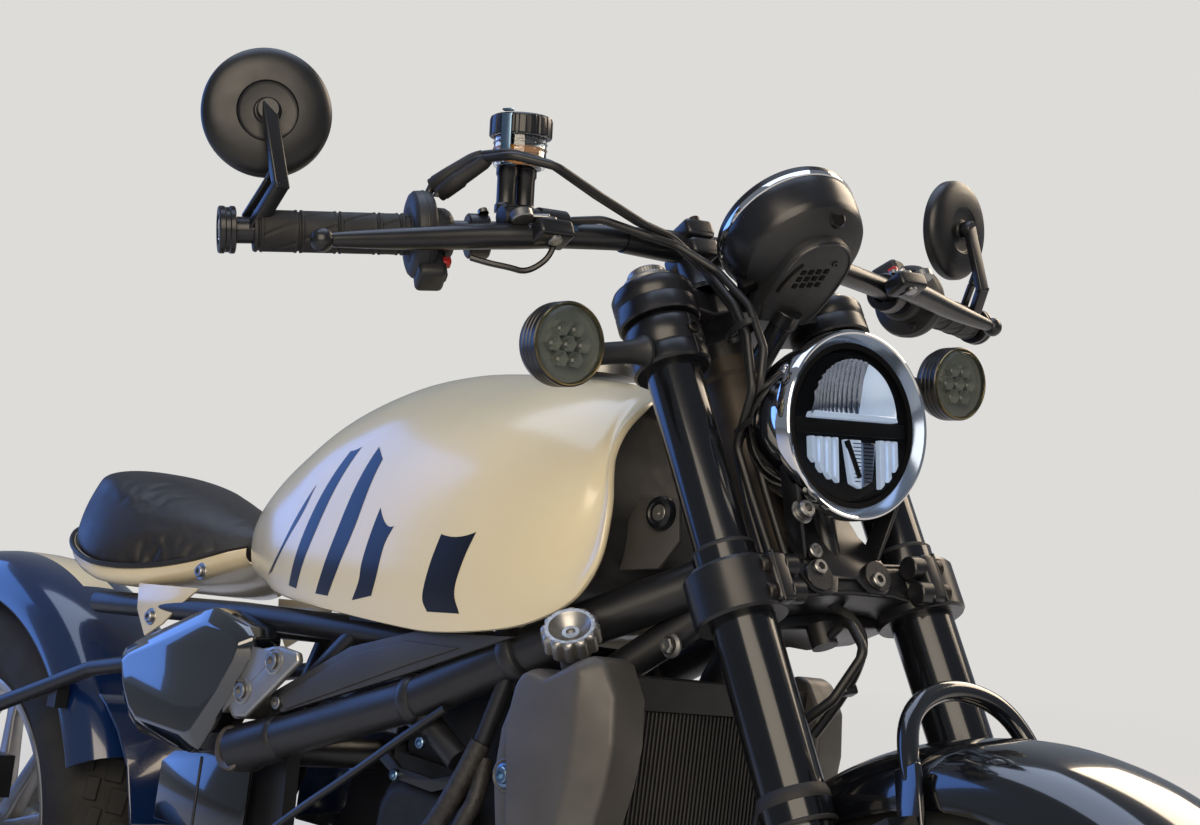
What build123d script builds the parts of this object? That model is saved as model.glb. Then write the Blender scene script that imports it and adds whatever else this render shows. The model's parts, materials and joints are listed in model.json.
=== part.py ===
from build123d import *
import os
from math import sin, cos, tan, radians, sqrt

os.makedirs("parts", exist_ok=True)

# A bobber motorcycle parked on its side stand, in millimetres.
# Chassis pieces are drawn upright: X forward, Y left, Z up, Z = 0 at the tyres, X = 0 between the axles.
# Steering pieces are drawn in the fork's frame: X ahead of the tubes, Y left, Z up the fork from its axle.
# At the end the steering turns, everything leans on the stand, and the box's bottom centre is the origin.

# Stance
wheelbase = 1485
rake = 28
fork_offset = 40
lean = 9.8
steer = -12.4

# Wheels and tyres
front_radius, front_width = 320, 130
rear_radius, rear_width = 323, 150
rim_radius = 203
crown_radius = 70
hub_radius = 34
hub_half = 52
spoke_count = 10
axle_radius = 10
axle_hole = 6
running = 0.05
gap = 0.3
disc_thickness = 5
front_disc_side = hub_half + 14
rear_disc_side = 83

# Fork and steering
leg_spread = 98
upper_tube_radius = 23.5
lower_tube_radius = 26.5
slider_radius = 26
seal_radius = 28.5
seal_height = 21
tube_foot = 306
tube_step = 512
tube_top = 758
lower_clamp_low, lower_clamp_high = 452, 496
indicator_clamp_low, upper_clamp_low, upper_clamp_high = 677, 722, 757
clamp_wall = 12
stem_radius = 14
head_tube_outer, head_tube_inner = 29, 21
bearing_height = 15
head_gap = 5

# Handlebar
bar_radius = 11
bar_centre_radius = 14
bar_rise = 803
bar_ahead = 5
bar_bend_half = 112
bar_end = (-98, 425, 835)
grip_radius = 17
grip_start, grip_end = 14, 140
riser_half = 45
riser_radius = 16

# Brake fluid cup, upright on its cylinder
cup_foot = (8, -211, 858)
cup_radius, cup_height, cup_cap, cup_cap_radius = 22, 26, 18, 26.5

# Lamps and instruments
headlight_radius = 78
headlight_face = (91, 0, 586)
headlight_tilt = 4.6
indicator_radius = 34
indicator_centre = (18, 219, 682)
gauge_radius = 63
gauge_centre = (78, 0, 790)
gauge_lean = 17
mirror_radius = 53
mirror_thickness = 16
mirror_centre = (-56, 401, 926)

# Frame tubes
rail_radius = 20
down_tube_radius = 15
seat_rail_radius = 13
boss_radius = 21
plate_inner, plate_outer = 62, 78

# Frame corner behind the engine, swingarm, shock, chain
pivot_boss = (-97, 522)
pivot = (-150, 360)
pivot_radius = 10
arm_inner, arm_outer = 100, 124
chain_line = 89
chain_half = 7
chain_thick = 11
front_sprocket = (-18, 365)
front_sprocket_radius = 36
rear_sprocket_radius = 92

# Rear shock, between the swingarm's bridge and the frame's
shock_low, shock_high = (-245, 0, 352), (-120, 0, 645)
shock_line = (125, 0, 293)

# Fenders
fender_thickness = 3
front_fender_radius = front_radius + 25
front_fender_half = leg_spread - slider_radius - gap
rear_fender_radius = rear_radius + 38
rear_fender_half = 86

# Seat, by stations: X, half width, bottom, top
seat_stations = [(-546, 62, 712, 772), (-520, 92, 700, 792), (-480, 112, 684, 798), (-420, 119, 670, 790),
                 (-360, 104, 671, 777), (-300, 78, 685, 760), (-250, 48, 709, 741)]
pan_margin, pan_depth, pan_lip = 3, 9, 6

# Side stand: its pin leans so that the leg folds up beside the machine
stand_pivot = (-92, 112, 250)
stand_pin = Vector(0.162, 0.728, 0.667)
stand_foot_y = 262
stand_foot_ahead = 52
stand_radius = 11
stand_eye_half = 12.5

# Filler cap
cap_centre = (225, 0, 921)
cap_radius = 34
cap_thickness = 13

# Radiator cap's neck
neck_low = (352, -107, 650)
neck_lean = (0.1, -0.62, 0.78)

front_axle = (wheelbase / 2, 0, front_radius)
rear_axle = (-wheelbase / 2, 0, rear_radius)
fork_frame = Plane(
    origin=front_axle,
    x_dir=(cos(radians(rake)), 0, sin(radians(rake))),
    z_dir=(-sin(radians(rake)), 0, cos(radians(rake))),
)
level = (cos(radians(rake)), 0, -sin(radians(rake)))
plumb = (sin(radians(rake)), 0, cos(radians(rake)))


# Shapes used by many pieces


def at_head(ahead, side, height):
    # a point given in the fork's frame with the steering straight
    return tuple(fork_frame.from_local_coords((ahead, side, height)))


def behind(x, side, z):
    # a point measured from the rear axle
    return (rear_axle[0] + x, side, rear_axle[2] + z)


def rod(start, end, radius):
    start, end = Vector(*start), Vector(*end)
    return Solid.make_cylinder(radius, (end - start).length, Plane(origin=start, z_dir=end - start))


def sleeve(start, end, outer, inner):
    return rod(start, end, outer) - rod(start, end, inner)


def pipe(points, radius, bend):
    path = FilletPolyline(*points, radius=bend)
    return sweep(Plane(origin=path @ 0, z_dir=path % 0) * Circle(radius), path=path)


def slab(outline, side_a, side_b, corner=0):
    # a plate drawn in X and Z, between two values of Y
    low, high = sorted((side_a, side_b))
    plane = Plane(origin=(0, high, 0), x_dir=(1, 0, 0), z_dir=(0, -1, 0))
    if corner:
        edge = FilletPolyline(*outline, radius=corner, close=True)
    else:
        edge = Polyline(*outline, close=True)
    return extrude(plane * make_face(edge), high - low)


def block(x, y, z):
    # a box between pairs of limits
    centre = [(low + high) / 2 for low, high in (x, y, z)]
    size = [abs(high - low) for low, high in (x, y, z)]
    return Pos(*centre) * Box(*size)


def other_side(shape):
    return mirror(shape, about=Plane.XZ)


def both_sides(shape):
    return shape + other_side(shape)


def along(start, direction, distance):
    return tuple(Vector(*start) + Vector(*direction).normalized() * distance)


def spun(outline, centre, turn=360, start=0):
    # a profile drawn as (Y, radius), turned about the Y line through a centre
    face = make_face(Polyline(*[(radius, y) for y, radius in outline], close=True))
    upright = Plane(origin=centre, x_dir=(cos(radians(start)), 0, sin(radians(start))),
                    z_dir=(-sin(radians(start)), 0, cos(radians(start))))
    axis = Axis(centre, (0, -1, 0))
    return revolve(upright * face, axis, turn)


# Wheels


def tyre(radius, width, centre):
    half = width / 2
    shoulder = half * 0.8
    shoulder_radius = radius - crown_radius + sqrt(crown_radius**2 - shoulder**2)
    bead = half * 0.72
    middle = (rim_radius + shoulder_radius) / 2
    with BuildSketch() as section:
        with BuildLine():
            Line((rim_radius, -bead), (rim_radius, bead))
            ThreePointArc((rim_radius, bead), (middle, half), (shoulder_radius, shoulder))
            ThreePointArc((shoulder_radius, shoulder), (radius, 0), (shoulder_radius, -shoulder))
            ThreePointArc((shoulder_radius, -shoulder), (middle, -half), (rim_radius, -bead))
        make_face()
    plane = Plane(origin=centre, x_dir=(1, 0, 0), z_dir=(0, 0, 1))
    return revolve(plane * section.sketch, Axis(centre, (0, 1, 0)), 360)


def cast_wheel(width, centre):
    bead = width * 0.36
    lip, well = rim_radius - 9, rim_radius - 20
    rim = spun([(-bead, rim_radius), (bead, rim_radius), (bead, lip), (bead - 14, well), (14 - bead, well),
                (-bead, lip)], centre)
    x, y, z = centre
    hub = rod((x, y - hub_half, z), (x, y + hub_half, z), hub_radius)
    wheel = rim + hub
    reach = rim_radius - 18
    for index in range(spoke_count):
        spoke = Pos(x, y, z) * Rot(0, 360 / spoke_count * index, 0) * Pos(0, 0, (hub_radius + reach - 6) / 2)
        wheel += spoke * Box(20, 16, reach - hub_radius + 6)
    return wheel - rod((x, y - hub_half, z), (x, y + hub_half, z), axle_radius + running)


def brake_disc(centre, side, outer, inner):
    x, y, z = centre
    ring = sleeve((x, side - disc_thickness / 2, z), (x, side + disc_thickness / 2, z), outer, inner)
    reach = (inner + hub_radius) / 2
    for index in range(5):
        arm = Box(18, disc_thickness, inner - hub_radius + 12)
        ring += Pos(x, side, z) * Rot(0, 72 * index, 0) * Pos(0, 0, reach) * arm
    toward = 1 if side > 0 else -1
    carrier = rod((x, toward * hub_half, z), (x, side + toward * disc_thickness / 2, z), hub_radius + 4)
    return ring + carrier - rod((x, -150, z), (x, 150, z), axle_radius + running)


# Steering pieces, in the fork's frame


def fork_tubes():
    low = rod((0, leg_spread, tube_foot), (0, leg_spread, tube_step), lower_tube_radius)
    high = rod((0, leg_spread, tube_step), (0, leg_spread, tube_top), upper_tube_radius)
    cap = rod((0, leg_spread, tube_top), (0, leg_spread, tube_top + 14), 17)
    return both_sides(low + high + cap)


def fork_sliders():
    leg = rod((0, leg_spread, -38), (0, leg_spread, tube_foot), slider_radius)
    leg += rod((0, leg_spread, tube_foot - seal_height), (0, leg_spread, tube_foot), seal_radius)
    lug = block((slider_radius - 8, 104), (leg_spread - 14, leg_spread + 14), (238, 262))
    leg = leg + lug
    leg -= rod((0, 60, 0), (0, 140, 0), axle_radius)
    return both_sides(leg)


def front_axle_rod():
    end = leg_spread + slider_radius + 4
    rod_body = rod((0, -end, 0), (0, end, 0), axle_radius)
    wheel_seat = leg_spread - slider_radius
    left = sleeve((0, hub_half + gap, 0), (0, wheel_seat, 0), 16, axle_radius)
    right = sleeve((0, -wheel_seat, 0), (0, -front_disc_side - disc_thickness / 2 - gap, 0), 16, axle_radius)
    return rod_body + left + right - rod((0, -end - 1, 0), (0, end + 1, 0), axle_hole)


def lower_clamp():
    clamp = both_sides(rod((0, leg_spread, lower_clamp_low), (0, leg_spread, lower_clamp_high),
                           lower_tube_radius + clamp_wall))
    body = block((-fork_offset - 18, 22), (-leg_spread, leg_spread),
                 (lower_clamp_low + 3, lower_clamp_high - 5))
    body = body - both_sides(Pos(-fork_offset - 18, 72, 474) * Rot(0, 0, 45) * Box(34, 34, 60))
    clamp += body
    clamp += both_sides(block((lower_tube_radius, lower_tube_radius + 20), (leg_spread - 23, leg_spread - 3),
                              (lower_clamp_low + 4, lower_clamp_high - 4)))
    clamp -= both_sides(rod((0, leg_spread, lower_clamp_low - 1), (0, leg_spread, lower_clamp_high + 1),
                            lower_tube_radius))
    stem = rod((-fork_offset, 0, lower_clamp_low + 3), (-fork_offset, 0, upper_clamp_high + 6), stem_radius)
    stem += rod((-fork_offset, 0, lower_clamp_high - 5), (-fork_offset, 0, lower_clamp_high), 24)
    shelf = block((22, 74), (-32, 32), (lower_clamp_high - 14, lower_clamp_high - 8))
    return clamp + stem + shelf


def upper_clamp():
    clamp = both_sides(rod((0, leg_spread, upper_clamp_low), (0, leg_spread, upper_clamp_high),
                           upper_tube_radius + clamp_wall))
    clamp += block((-fork_offset - 20, 30), (-leg_spread + 8, leg_spread - 8),
                   (upper_clamp_low + 8, upper_clamp_high - 3))
    clamp -= both_sides(rod((0, leg_spread, upper_clamp_low - 1), (0, leg_spread, upper_clamp_high + 1),
                            upper_tube_radius))
    return clamp - rod((-fork_offset, 0, upper_clamp_low), (-fork_offset, 0, upper_clamp_high), stem_radius)


def bar_point(distance, side=1):
    end = Vector(bar_end[0], bar_end[1] * side, bar_end[2])
    bend = Vector(bar_ahead, bar_bend_half * side, bar_rise)
    return tuple(end + (bend - end).normalized() * distance)


def handlebar():
    path = [bar_point(0, -1), (bar_ahead, -bar_bend_half, bar_rise), (bar_ahead, bar_bend_half, bar_rise),
            bar_point(0)]
    bar = pipe(path, bar_radius, 70)
    bar += rod((bar_ahead, -72, bar_rise), (bar_ahead, 72, bar_rise), bar_centre_radius)
    post_top = bar_rise - 4
    post_foot = upper_clamp_high - 3
    riser = rod((bar_ahead, riser_half, post_foot), (bar_ahead, riser_half, post_top), riser_radius)
    riser += block((bar_ahead - 24, bar_ahead + 24), (riser_half - riser_radius, riser_half + riser_radius),
                   (bar_rise - 18, bar_rise + 19))
    return bar + both_sides(riser)


def grips():
    grip = sleeve(bar_point(grip_start), bar_point(grip_end), grip_radius, bar_radius)
    grip += sleeve(bar_point(grip_end - 5), bar_point(grip_end), grip_radius + 6, bar_radius)
    return both_sides(grip)


def switch_housings():
    start, end = grip_end + gap, grip_end + 38
    housing = sleeve(bar_point(start), bar_point(start + 12), 32, bar_radius)
    housing += sleeve(bar_point(start + 8), bar_point(end), 23, bar_radius)
    return both_sides(housing)


def hand_levers():
    ring = sleeve(bar_point(grip_end + 48), bar_point(grip_end + 68), 19, bar_radius)
    x, y, z = bar_point(grip_end + 58)
    perch = block((x + 8, x + 34), (y - 12, y + 12), (z - 42, z - 12))
    perch -= rod(bar_point(150), bar_point(260), bar_radius)
    blade = pipe([(x + 24, y + 4, z - 30), (x + 18, y + 50, z - 30), (-40, 366, 797)], 6, 60)
    blade += Pos(-44, 382, 797) * Sphere(9)
    blade += rod((-40, 360, 797), (-44, 382, 797), 6)
    return both_sides(ring + perch + blade)


def brake_reservoir():
    start = bar_point(grip_end + 76, -1)
    x, y, z = start
    body = block((x + 12, x + 40), (y - 4, y + 50), (z - 16, z + 12))
    body -= rod(bar_point(150, -1), bar_point(300, -1), bar_radius + gap)
    post = rod((x + 26, y + 8, z), along(cup_foot, plumb, 1), 8)
    cup = rod(cup_foot, along(cup_foot, plumb, cup_height), cup_radius)
    cap = rod(along(cup_foot, plumb, cup_height), along(cup_foot, plumb, cup_height + cup_cap), cup_cap_radius)
    return body + post + cup + cap


def mirror_place(side):
    # the mirror's disc, its back towards the road and turned outwards or inwards as it was left
    turn = 22 if side < 0 else -8
    facing = (cos(radians(turn)) * cos(radians(rake)), side * sin(radians(turn)), -sin(radians(rake)))
    x, y, z = mirror_centre
    return Plane(origin=(x, side * y, z), x_dir=(0, 1, 0), z_dir=facing)


def mirror_arms():
    arms = None
    for side in (-1, 1):
        end = bar_point(-8, side)
        clamp = rod(bar_point(-13, side), bar_point(-gap, side), 19)
        joint = mirror_place(side).origin + mirror_place(side).z_dir * (mirror_thickness / 2 + gap)
        knee = (-34, side * 404, 838)
        arm = pipe([along(end, (0.7, 0, -0.7), 14), (-72, side * 426, 808), knee, (-30, side * 402, 880),
                    tuple(joint + mirror_place(side).z_dir * 8)], 5.5, 8)
        boss = rod(tuple(joint), tuple(joint + mirror_place(side).z_dir * 12), 14)
        whole = clamp + arm + boss - rod(bar_point(-gap, side), bar_point(60, side), grip_radius + gap)
        arms = whole if arms is None else arms + whole
    return arms


def mirror_shells():
    shells = None
    for side in (-1, 1):
        place = mirror_place(side)
        front, back = place.origin - place.z_dir * 5, place.origin + place.z_dir * mirror_thickness / 2
        shell = rod(tuple(front), tuple(back), mirror_radius)
        shells = shell if shells is None else shells + shell
    return shells


def mirror_glasses():
    glasses = None
    for side in (-1, 1):
        place = mirror_place(side)
        front, back = place.origin - place.z_dir * 8, place.origin - place.z_dir * 5
        glass = rod(tuple(front), tuple(back), mirror_radius - 3)
        glasses = glass if glasses is None else glasses + glass
    return glasses


def front_indicators():
    x, y, z = indicator_centre
    ring = sleeve((0, leg_spread, indicator_clamp_low), (0, leg_spread, upper_clamp_low - gap),
                  upper_tube_radius + 10, upper_tube_radius)
    stalk = rod((0, leg_spread + upper_tube_radius + 6, z + 8), (x - 8, y - 14, z + 4), 9)
    lamp = rod(along((x, y, z), level, -24), along((x, y, z), level, 16), indicator_radius)
    return both_sides(ring + stalk + lamp)


def headlight_axis():
    turn = radians(headlight_tilt - rake)
    return Vector(cos(turn), 0, sin(turn))


def headlight_bucket():
    face = Vector(*headlight_face)
    axis = headlight_axis()
    front, back = face - axis * 16, face - axis * 92
    bowl = Solid.make_cone(34, headlight_radius - 6, (front - back).length, Plane(origin=back, z_dir=axis))
    foot = rod((10, 0, lower_clamp_high - 12), (22, 0, 566), 11)
    return bowl + foot - block((-60, 60), (-60, 60), (lower_clamp_low, lower_clamp_high - 5))


def headlight_rim():
    face = Vector(*headlight_face)
    axis = headlight_axis()
    return sleeve(tuple(face - axis * 16), tuple(face), headlight_radius, headlight_radius - 10)


def headlight_lens():
    face = Vector(*headlight_face)
    axis = headlight_axis()
    return rod(tuple(face - axis * 16), tuple(face - axis * 2), headlight_radius - 10)


def gauge_axis():
    return Vector(-sin(radians(gauge_lean)), 0, cos(radians(gauge_lean)))


def gauge_pod():
    centre, axis = Vector(*gauge_centre), gauge_axis()
    top, bottom = centre - axis * 10, centre - axis * 48
    bowl = Solid.make_cone(40, gauge_radius - 3, (top - bottom).length, Plane(origin=bottom, z_dir=axis))
    post = rod(tuple(bottom + axis * 6), (20, 0, upper_clamp_high - 16), 10)
    return bowl + post - block((-70, 30), (-90, 90), (upper_clamp_low, upper_clamp_high))


def gauge_rim():
    centre, axis = Vector(*gauge_centre), gauge_axis()
    return rod(tuple(centre - axis * 10), tuple(centre), gauge_radius)


def front_fender():
    r, half, t = front_fender_radius, front_fender_half, fender_thickness
    outline = [(-half, r - 48), (-half, r - 16), (-half + 18, r - 4), (0, r), (half - 18, r - 4),
               (half, r - 16), (half, r - 48), (half - t, r - 48), (half - t, r - 17), (half - 19, r - 7),
               (0, r - t), (-half + 19, r - 7), (-half + t, r - 17), (-half + t, r - 48)]
    shell = spun(outline, (0, 0, 0), 128, -8)
    return shell - both_sides(rod((0, leg_spread, 200), (0, leg_spread, 400), seal_radius + gap))


def fork_brace():
    top = front_fender_radius
    return pipe([(95, -91, top - 83), (95, -91, top - 45), (95, -48, top + 17), (95, 48, top + 17),
                 (95, 91, top - 45), (95, 91, top - 83)], 7, 24)


def front_caliper():
    side = -front_disc_side
    body = block((-112, -62), (side - 22, side + 16), (62, 138))
    body -= rod((0, side - 4.5, 0), (0, side + 4.5, 0), 152)
    bracket = block((-70, -18), (side - 22, side - 8), (74, 126))
    bracket -= rod((0, side - 4.5, 0), (0, side + 4.5, 0), 152)
    return body + bracket - rod((0, -leg_spread, -50), (0, -leg_spread, 300), slider_radius)


def brake_hose():
    # from the fitting under the lower clamp to the caliper
    fitting = rod((-14, -6, 436), (-14, -6, lower_clamp_low + 3 - gap), 11)
    start = (-14, -6, 440)
    hose = pipe([start, (22, -8, 446), (36, -14, 412), (6, -34, 384), (-48, -62, 366), (-52, -98, 300),
                 (-88, -82, 200), (-92, -78, 139)], 4, 14)
    return fitting + hose


def cable_bundle():
    # two throttle cables and the brake line run from the right grip inwards, then down inside the right leg
    clamp_top = lower_clamp_high - 5 + gap
    routes = [
        [(-44, -283, 838), (-26, -272, 862), (6, -252, 866), (40, -241, 848), (50, -210, 834),
         (40, -165, 818), (32, -120, 803), (28, -90, 798), (33, -63, 762), (50, -60, 714), (54, -60, 681),
         (46, -62, 632), (6, -58, 604), (-2, -56, 560), (-4, -54, clamp_top)],
        [(-40, -283, 830), (-16, -270, 852), (10, -256, 858), (46, -245, 840), (58, -212, 826),
         (48, -165, 810), (40, -120, 795), (36, -92, 790), (41, -66, 756), (58, -64, 712), (62, -64, 681),
         (54, -68, 634), (13, -64, 604), (6, -57, 560), (5, -53, clamp_top)],
        [(6, -167.5, 814), (24, -150, 806), (36, -112, 786), (38, -90, 780), (50, -64, 750), (68, -58, 706),
         (70, -58, 664), (60, -62, 640), (22, -54, 604), (14, -48, 560), (12, -45, clamp_top)],
    ]
    bundle = None
    for route in routes:
        cable = pipe(route, 3.5, 18)
        bundle = cable if bundle is None else bundle + cable
    return bundle - rod(bar_point(grip_end - 4, -1), bar_point(grip_end + 40, -1), 32 + gap)


# Chassis pieces


def rail_tube(radius):
    return pipe([(pivot_boss[0], 118, pivot_boss[1]), (150, 113, 602), at_head(-190.5, 92, 520.3),
                 at_head(-56.6, 26, 525.0)], radius, 90)


def seat_rail_tube(radius):
    return pipe([(262, 98, 655), (40, 97, 655), (-160, 92, 652), (-455, 80, 640)], radius, 60)


def frame_brace(radius):
    return rod((-92, 102, 530), (40, 97, 655), radius)


def frame():
    head_low, head_high = lower_clamp_high + head_gap, upper_clamp_low + 8 - head_gap
    low, high = Vector(*at_head(-fork_offset, 0, head_low)), Vector(*at_head(-fork_offset, 0, head_high))
    up = Vector(*fork_frame.z_dir)
    rail = rail_tube(rail_radius)
    down_tube = [at_head(-63.7, 18, 511.8), (345, 70, 650), (318, 88, 560), (318, 88, 500)]
    down = pipe(down_tube, down_tube_radius, 50)
    brace = frame_brace(12)
    seat_rail = seat_rail_tube(seat_rail_radius)
    boss = rod((pivot_boss[0], 98, pivot_boss[1]), (pivot_boss[0], 128, pivot_boss[1]), boss_radius)
    plate = slab([(-128, 545), (-72, 545), (-64, 430), (-58, 235), (-128, 215), (-190, 330), (-190, 392),
                  (-140, 460)], plate_inner, plate_outer, 10)
    side = rail + down + brace + seat_rail + boss + plate
    bridge = rod((-97, -118, 522), (-97, 118, 522), 16)
    rear_loop = rod((-440, -80, 640.5), (-440, 80, 640.5), 12)
    shock_bridge = rod((shock_high[0], -93, shock_high[2]), (shock_high[0], 93, shock_high[2]), 13)
    radiator_tab = block((325, 380 - gap), (84, 92), (560, 590))
    tank_pad = block((30, 70), (88, 106), (655, 690)) - Pos(0, 0, -gap) * fuel_tank()
    stand_lug = rod(tuple(Vector(*stand_pivot) - stand_pin * 56),
                    tuple(Vector(*stand_pivot) - stand_pin * (stand_eye_half + gap)), 15)
    stand_bolt = rod(along(stand_pivot, stand_pin, -20), along(stand_pivot, stand_pin, 14), 6)
    head = rod(tuple(low), tuple(high), head_tube_outer)
    whole = both_sides(side + radiator_tab + tank_pad) + bridge + rear_loop + shock_bridge
    whole += stand_lug + stand_bolt + head
    whole -= rod(tuple(low + up * bearing_height), tuple(high - up * bearing_height), head_tube_inner)
    whole -= rod(tuple(low - up), tuple(high + up), stem_radius + running)
    return whole - rod((pivot[0], -130, pivot[1]), (pivot[0], 130, pivot[1]), pivot_radius)


def engine_case():
    outline = [(-45, 300), (-40, 430), (60, 452), (272, 452), (300, 360), (262, 250), (110, 226), (-20, 240)]
    return slab(outline, -82, 82, 12)


def cylinder_head():
    block_part = slab([(82, 452), (92, 548), (286, 536), (268, 452)], -74, 74)
    cover = slab([(92, 548), (112, 628), (262, 620), (286, 536)], -66, 66, 8)
    return block_part + cover


def engine_covers():
    clutch = rod((105, -82, 335), (105, -126, 335), 82)
    stator = rod((175, 82, 335), (175, 124, 335), 72)
    x, z = front_sprocket
    sprocket_cover = rod((x, 97, z), (x, 112, z), 48)
    neck = block((x + 49, 110), (82, 112), (z - 18, z + 18))
    bridge = block((x, 60), (97, 112), (z - 18, z + 18))
    return clutch + (stator + neck + bridge + sprocket_cover)


def radiator():
    core = block((380, 410), (-112, 112), (470, 628))
    top = block((374, 416), (-116, 116), (628, 654))
    bottom = block((374, 416), (-116, 116), (448, 470))
    boss = block((340, 374), (-116, -98), (626, 650))
    return core + top + bottom + boss


def radiator_shrouds():
    outline = [(318, 651), (424, 673), (457, 638), (459, 592), (437, 520), (405, 452), (345, 452),
               (316, 560)]
    shroud = slab(outline, 116 + gap, 168, 14)
    return both_sides(shroud) - rod(neck_low, along(neck_low, neck_lean, 80), 15)


def radiator_cap():
    neck = rod(neck_low, along(neck_low, neck_lean, 50), 13) - block((330, 380), (-130, -80), (600, 650))
    return neck + rod(along(neck_low, neck_lean, 42), along(neck_low, neck_lean, 60), 23.5)


def rounded_loft(stations):
    # a rounded body through its stations: X, half width, bottom, top
    sections = []
    for x, half, low, high in stations:
        tall = high - low
        plane = Plane(origin=(x, 0, low), x_dir=(0, 1, 0), z_dir=(1, 0, 0))
        with BuildSketch(plane) as section:
            with BuildLine():
                Line((-half * 0.86, 0), (half * 0.86, 0))
                ThreePointArc((half * 0.86, 0), (half, tall * 0.32), (half * 0.88, tall * 0.68))
                ThreePointArc((half * 0.88, tall * 0.68), (half * 0.55, tall * 0.92), (0, tall))
                ThreePointArc((0, tall), (-half * 0.55, tall * 0.92), (-half * 0.88, tall * 0.68))
                ThreePointArc((-half * 0.88, tall * 0.68), (-half, tall * 0.32), (-half * 0.86, 0))
            make_face()
        sections.append(section.sketch)
    return loft(sections)


def fuel_tank():
    stations = [(340, 74, 778, 872), (318, 108, 726, 892), (262, 132, 690, 913), (150, 144, 671, 918),
                (10, 140, 673, 904), (-100, 112, 681, 853), (-190, 74, 696, 794), (-240, 36, 708, 736)]
    x, y, z = cap_centre
    ring = rod((x, y, z - 30), (x, y, z), cap_radius + 5)
    ear = rod((x + cap_radius + 4, 9, z + cap_thickness), (x + cap_radius + 4, 14, z + cap_thickness), 4)
    ear += block((x + cap_radius, x + cap_radius + 8), (9, 14), (z - 10, z + cap_thickness))
    return rounded_loft(stations) + ring + both_sides(ear)


def filler_cap():
    x, y, z = cap_centre
    hinge = x + cap_radius + 4
    cap = rod((x, y, z + gap), (x, y, z + cap_thickness), cap_radius)
    cap += rod((hinge, -8.5, z + cap_thickness), (hinge, 8.5, z + cap_thickness), 3.5)
    return cap + block((x, hinge), (-8.5, 8.5), (z + cap_thickness - 4, z + cap_thickness))


def tank_side_panels():
    outline = [(-52, 582), (60, 640), (150, 664), (278, 672), (150, 626), (-30, 566)]
    return both_sides(slab(outline, 118, 127) - rail_tube(rail_radius + gap))


def frame_plates():
    outline = [(-96, 626), (-34, 623), (-45, 609), (-104, 556), (-108, 600)]
    boss = rod((-90, 96, 566), (-90, 133, 566), 14) - frame_brace(12 + gap)
    return both_sides(slab(outline, 132, 140) + boss)


def side_covers():
    outline = [(-268, 619), (-171, 641), (-118, 638), (-113, 600), (-125, 552), (-150, 508), (-239, 514),
               (-298, 554), (-318, 590)]
    return both_sides(slab(outline, 105.8, 152, 8))


def key_lock():
    head_x, head_y, head_z = at_head(-fork_offset, 0, 600)
    outline = [(head_x - 95.5, head_z - 131), (head_x - 40.5, head_z - 116), (head_x - 27.5, head_z - 35),
               (head_x - 73.5, head_z - 31)]
    plate = slab(outline, -60, -68) - other_side(rail_tube(rail_radius + gap))
    return plate + rod((head_x - 53.5, -68, head_z - 59), (head_x - 53.5, -84, head_z - 59), 11)


def seat_cushion():
    return rounded_loft(seat_stations)


def seat_pan():
    stations = [(x, half + pan_margin, low - pan_depth, low + pan_lip) for x, half, low, high in seat_stations]
    pan = rounded_loft(stations)
    pan -= Pos(0, 0, -gap) * seat_cushion()
    post = block((-420, -380), (74, 92), (645, 664)) - seat_rail_tube(seat_rail_radius + gap)
    return pan + both_sides(post)


def swingarm():
    x, y, z = rear_axle
    outline = [(-118, 345), (-150, 392), (-330, 385), (x + 42, z + 32), (x - 48, z + 29), (x - 53, z - 27),
               (x + 42, z - 31), (-330, 322), (-150, 328)]
    arm = slab(outline, arm_inner, arm_outer)
    bridge = rod((shock_low[0], -arm_inner, shock_low[2]), (shock_low[0], arm_inner, shock_low[2]), 20)
    whole = both_sides(arm) + bridge
    whole -= rod((rear_axle[0], -130, rear_axle[2]), (rear_axle[0], 130, rear_axle[2]), axle_radius)
    return whole - rod((pivot[0], -130, pivot[1]), (pivot[0], 130, pivot[1]), pivot_radius)


def swingarm_pivot():
    shaft = rod((pivot[0], -arm_outer - 5, pivot[1]), (pivot[0], arm_outer + 5, pivot[1]), pivot_radius)
    spacer = sleeve((pivot[0], plate_outer, pivot[1]), (pivot[0], arm_inner, pivot[1]), 16, pivot_radius)
    return shaft + both_sides(spacer)


def rear_axle_rod():
    x, y, z = rear_axle
    shaft = rod((x, -arm_outer - 8, z), (x, arm_outer + 8, z), axle_radius)
    left = sleeve((x, chain_line + 8 + gap, z), (x, arm_inner, z), 16, axle_radius)
    right = sleeve((x, -arm_inner, z), (x, -rear_disc_side - disc_thickness / 2 - gap, z), 16, axle_radius)
    shaft = shaft + left + right
    return shaft - rod((x, -160, z), (x, 160, z), axle_hole)


def rear_caliper():
    x, y, z = rear_axle
    body = block((x + 52, x + 132), (-99, -67), (z + 67, z + 117))
    body -= rod((x, -rear_disc_side - 4.5, z), (x, -rear_disc_side + 4.5, z), 128)
    foot = block((x + 72, x + 102), (-arm_outer + 1, -98), (z + 37.2, z + 100))
    return body + foot


def rear_shock():
    shock = rod(shock_low, shock_high, 16)
    shock += rod(along(shock_low, shock_line, 34), along(shock_low, shock_line, 210), 30)
    shock -= rod((shock_low[0], -40, shock_low[2]), (shock_low[0], 40, shock_low[2]), 20 + gap)
    return shock - rod((shock_high[0], -40, shock_high[2]), (shock_high[0], 40, shock_high[2]), 13 + gap)


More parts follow.
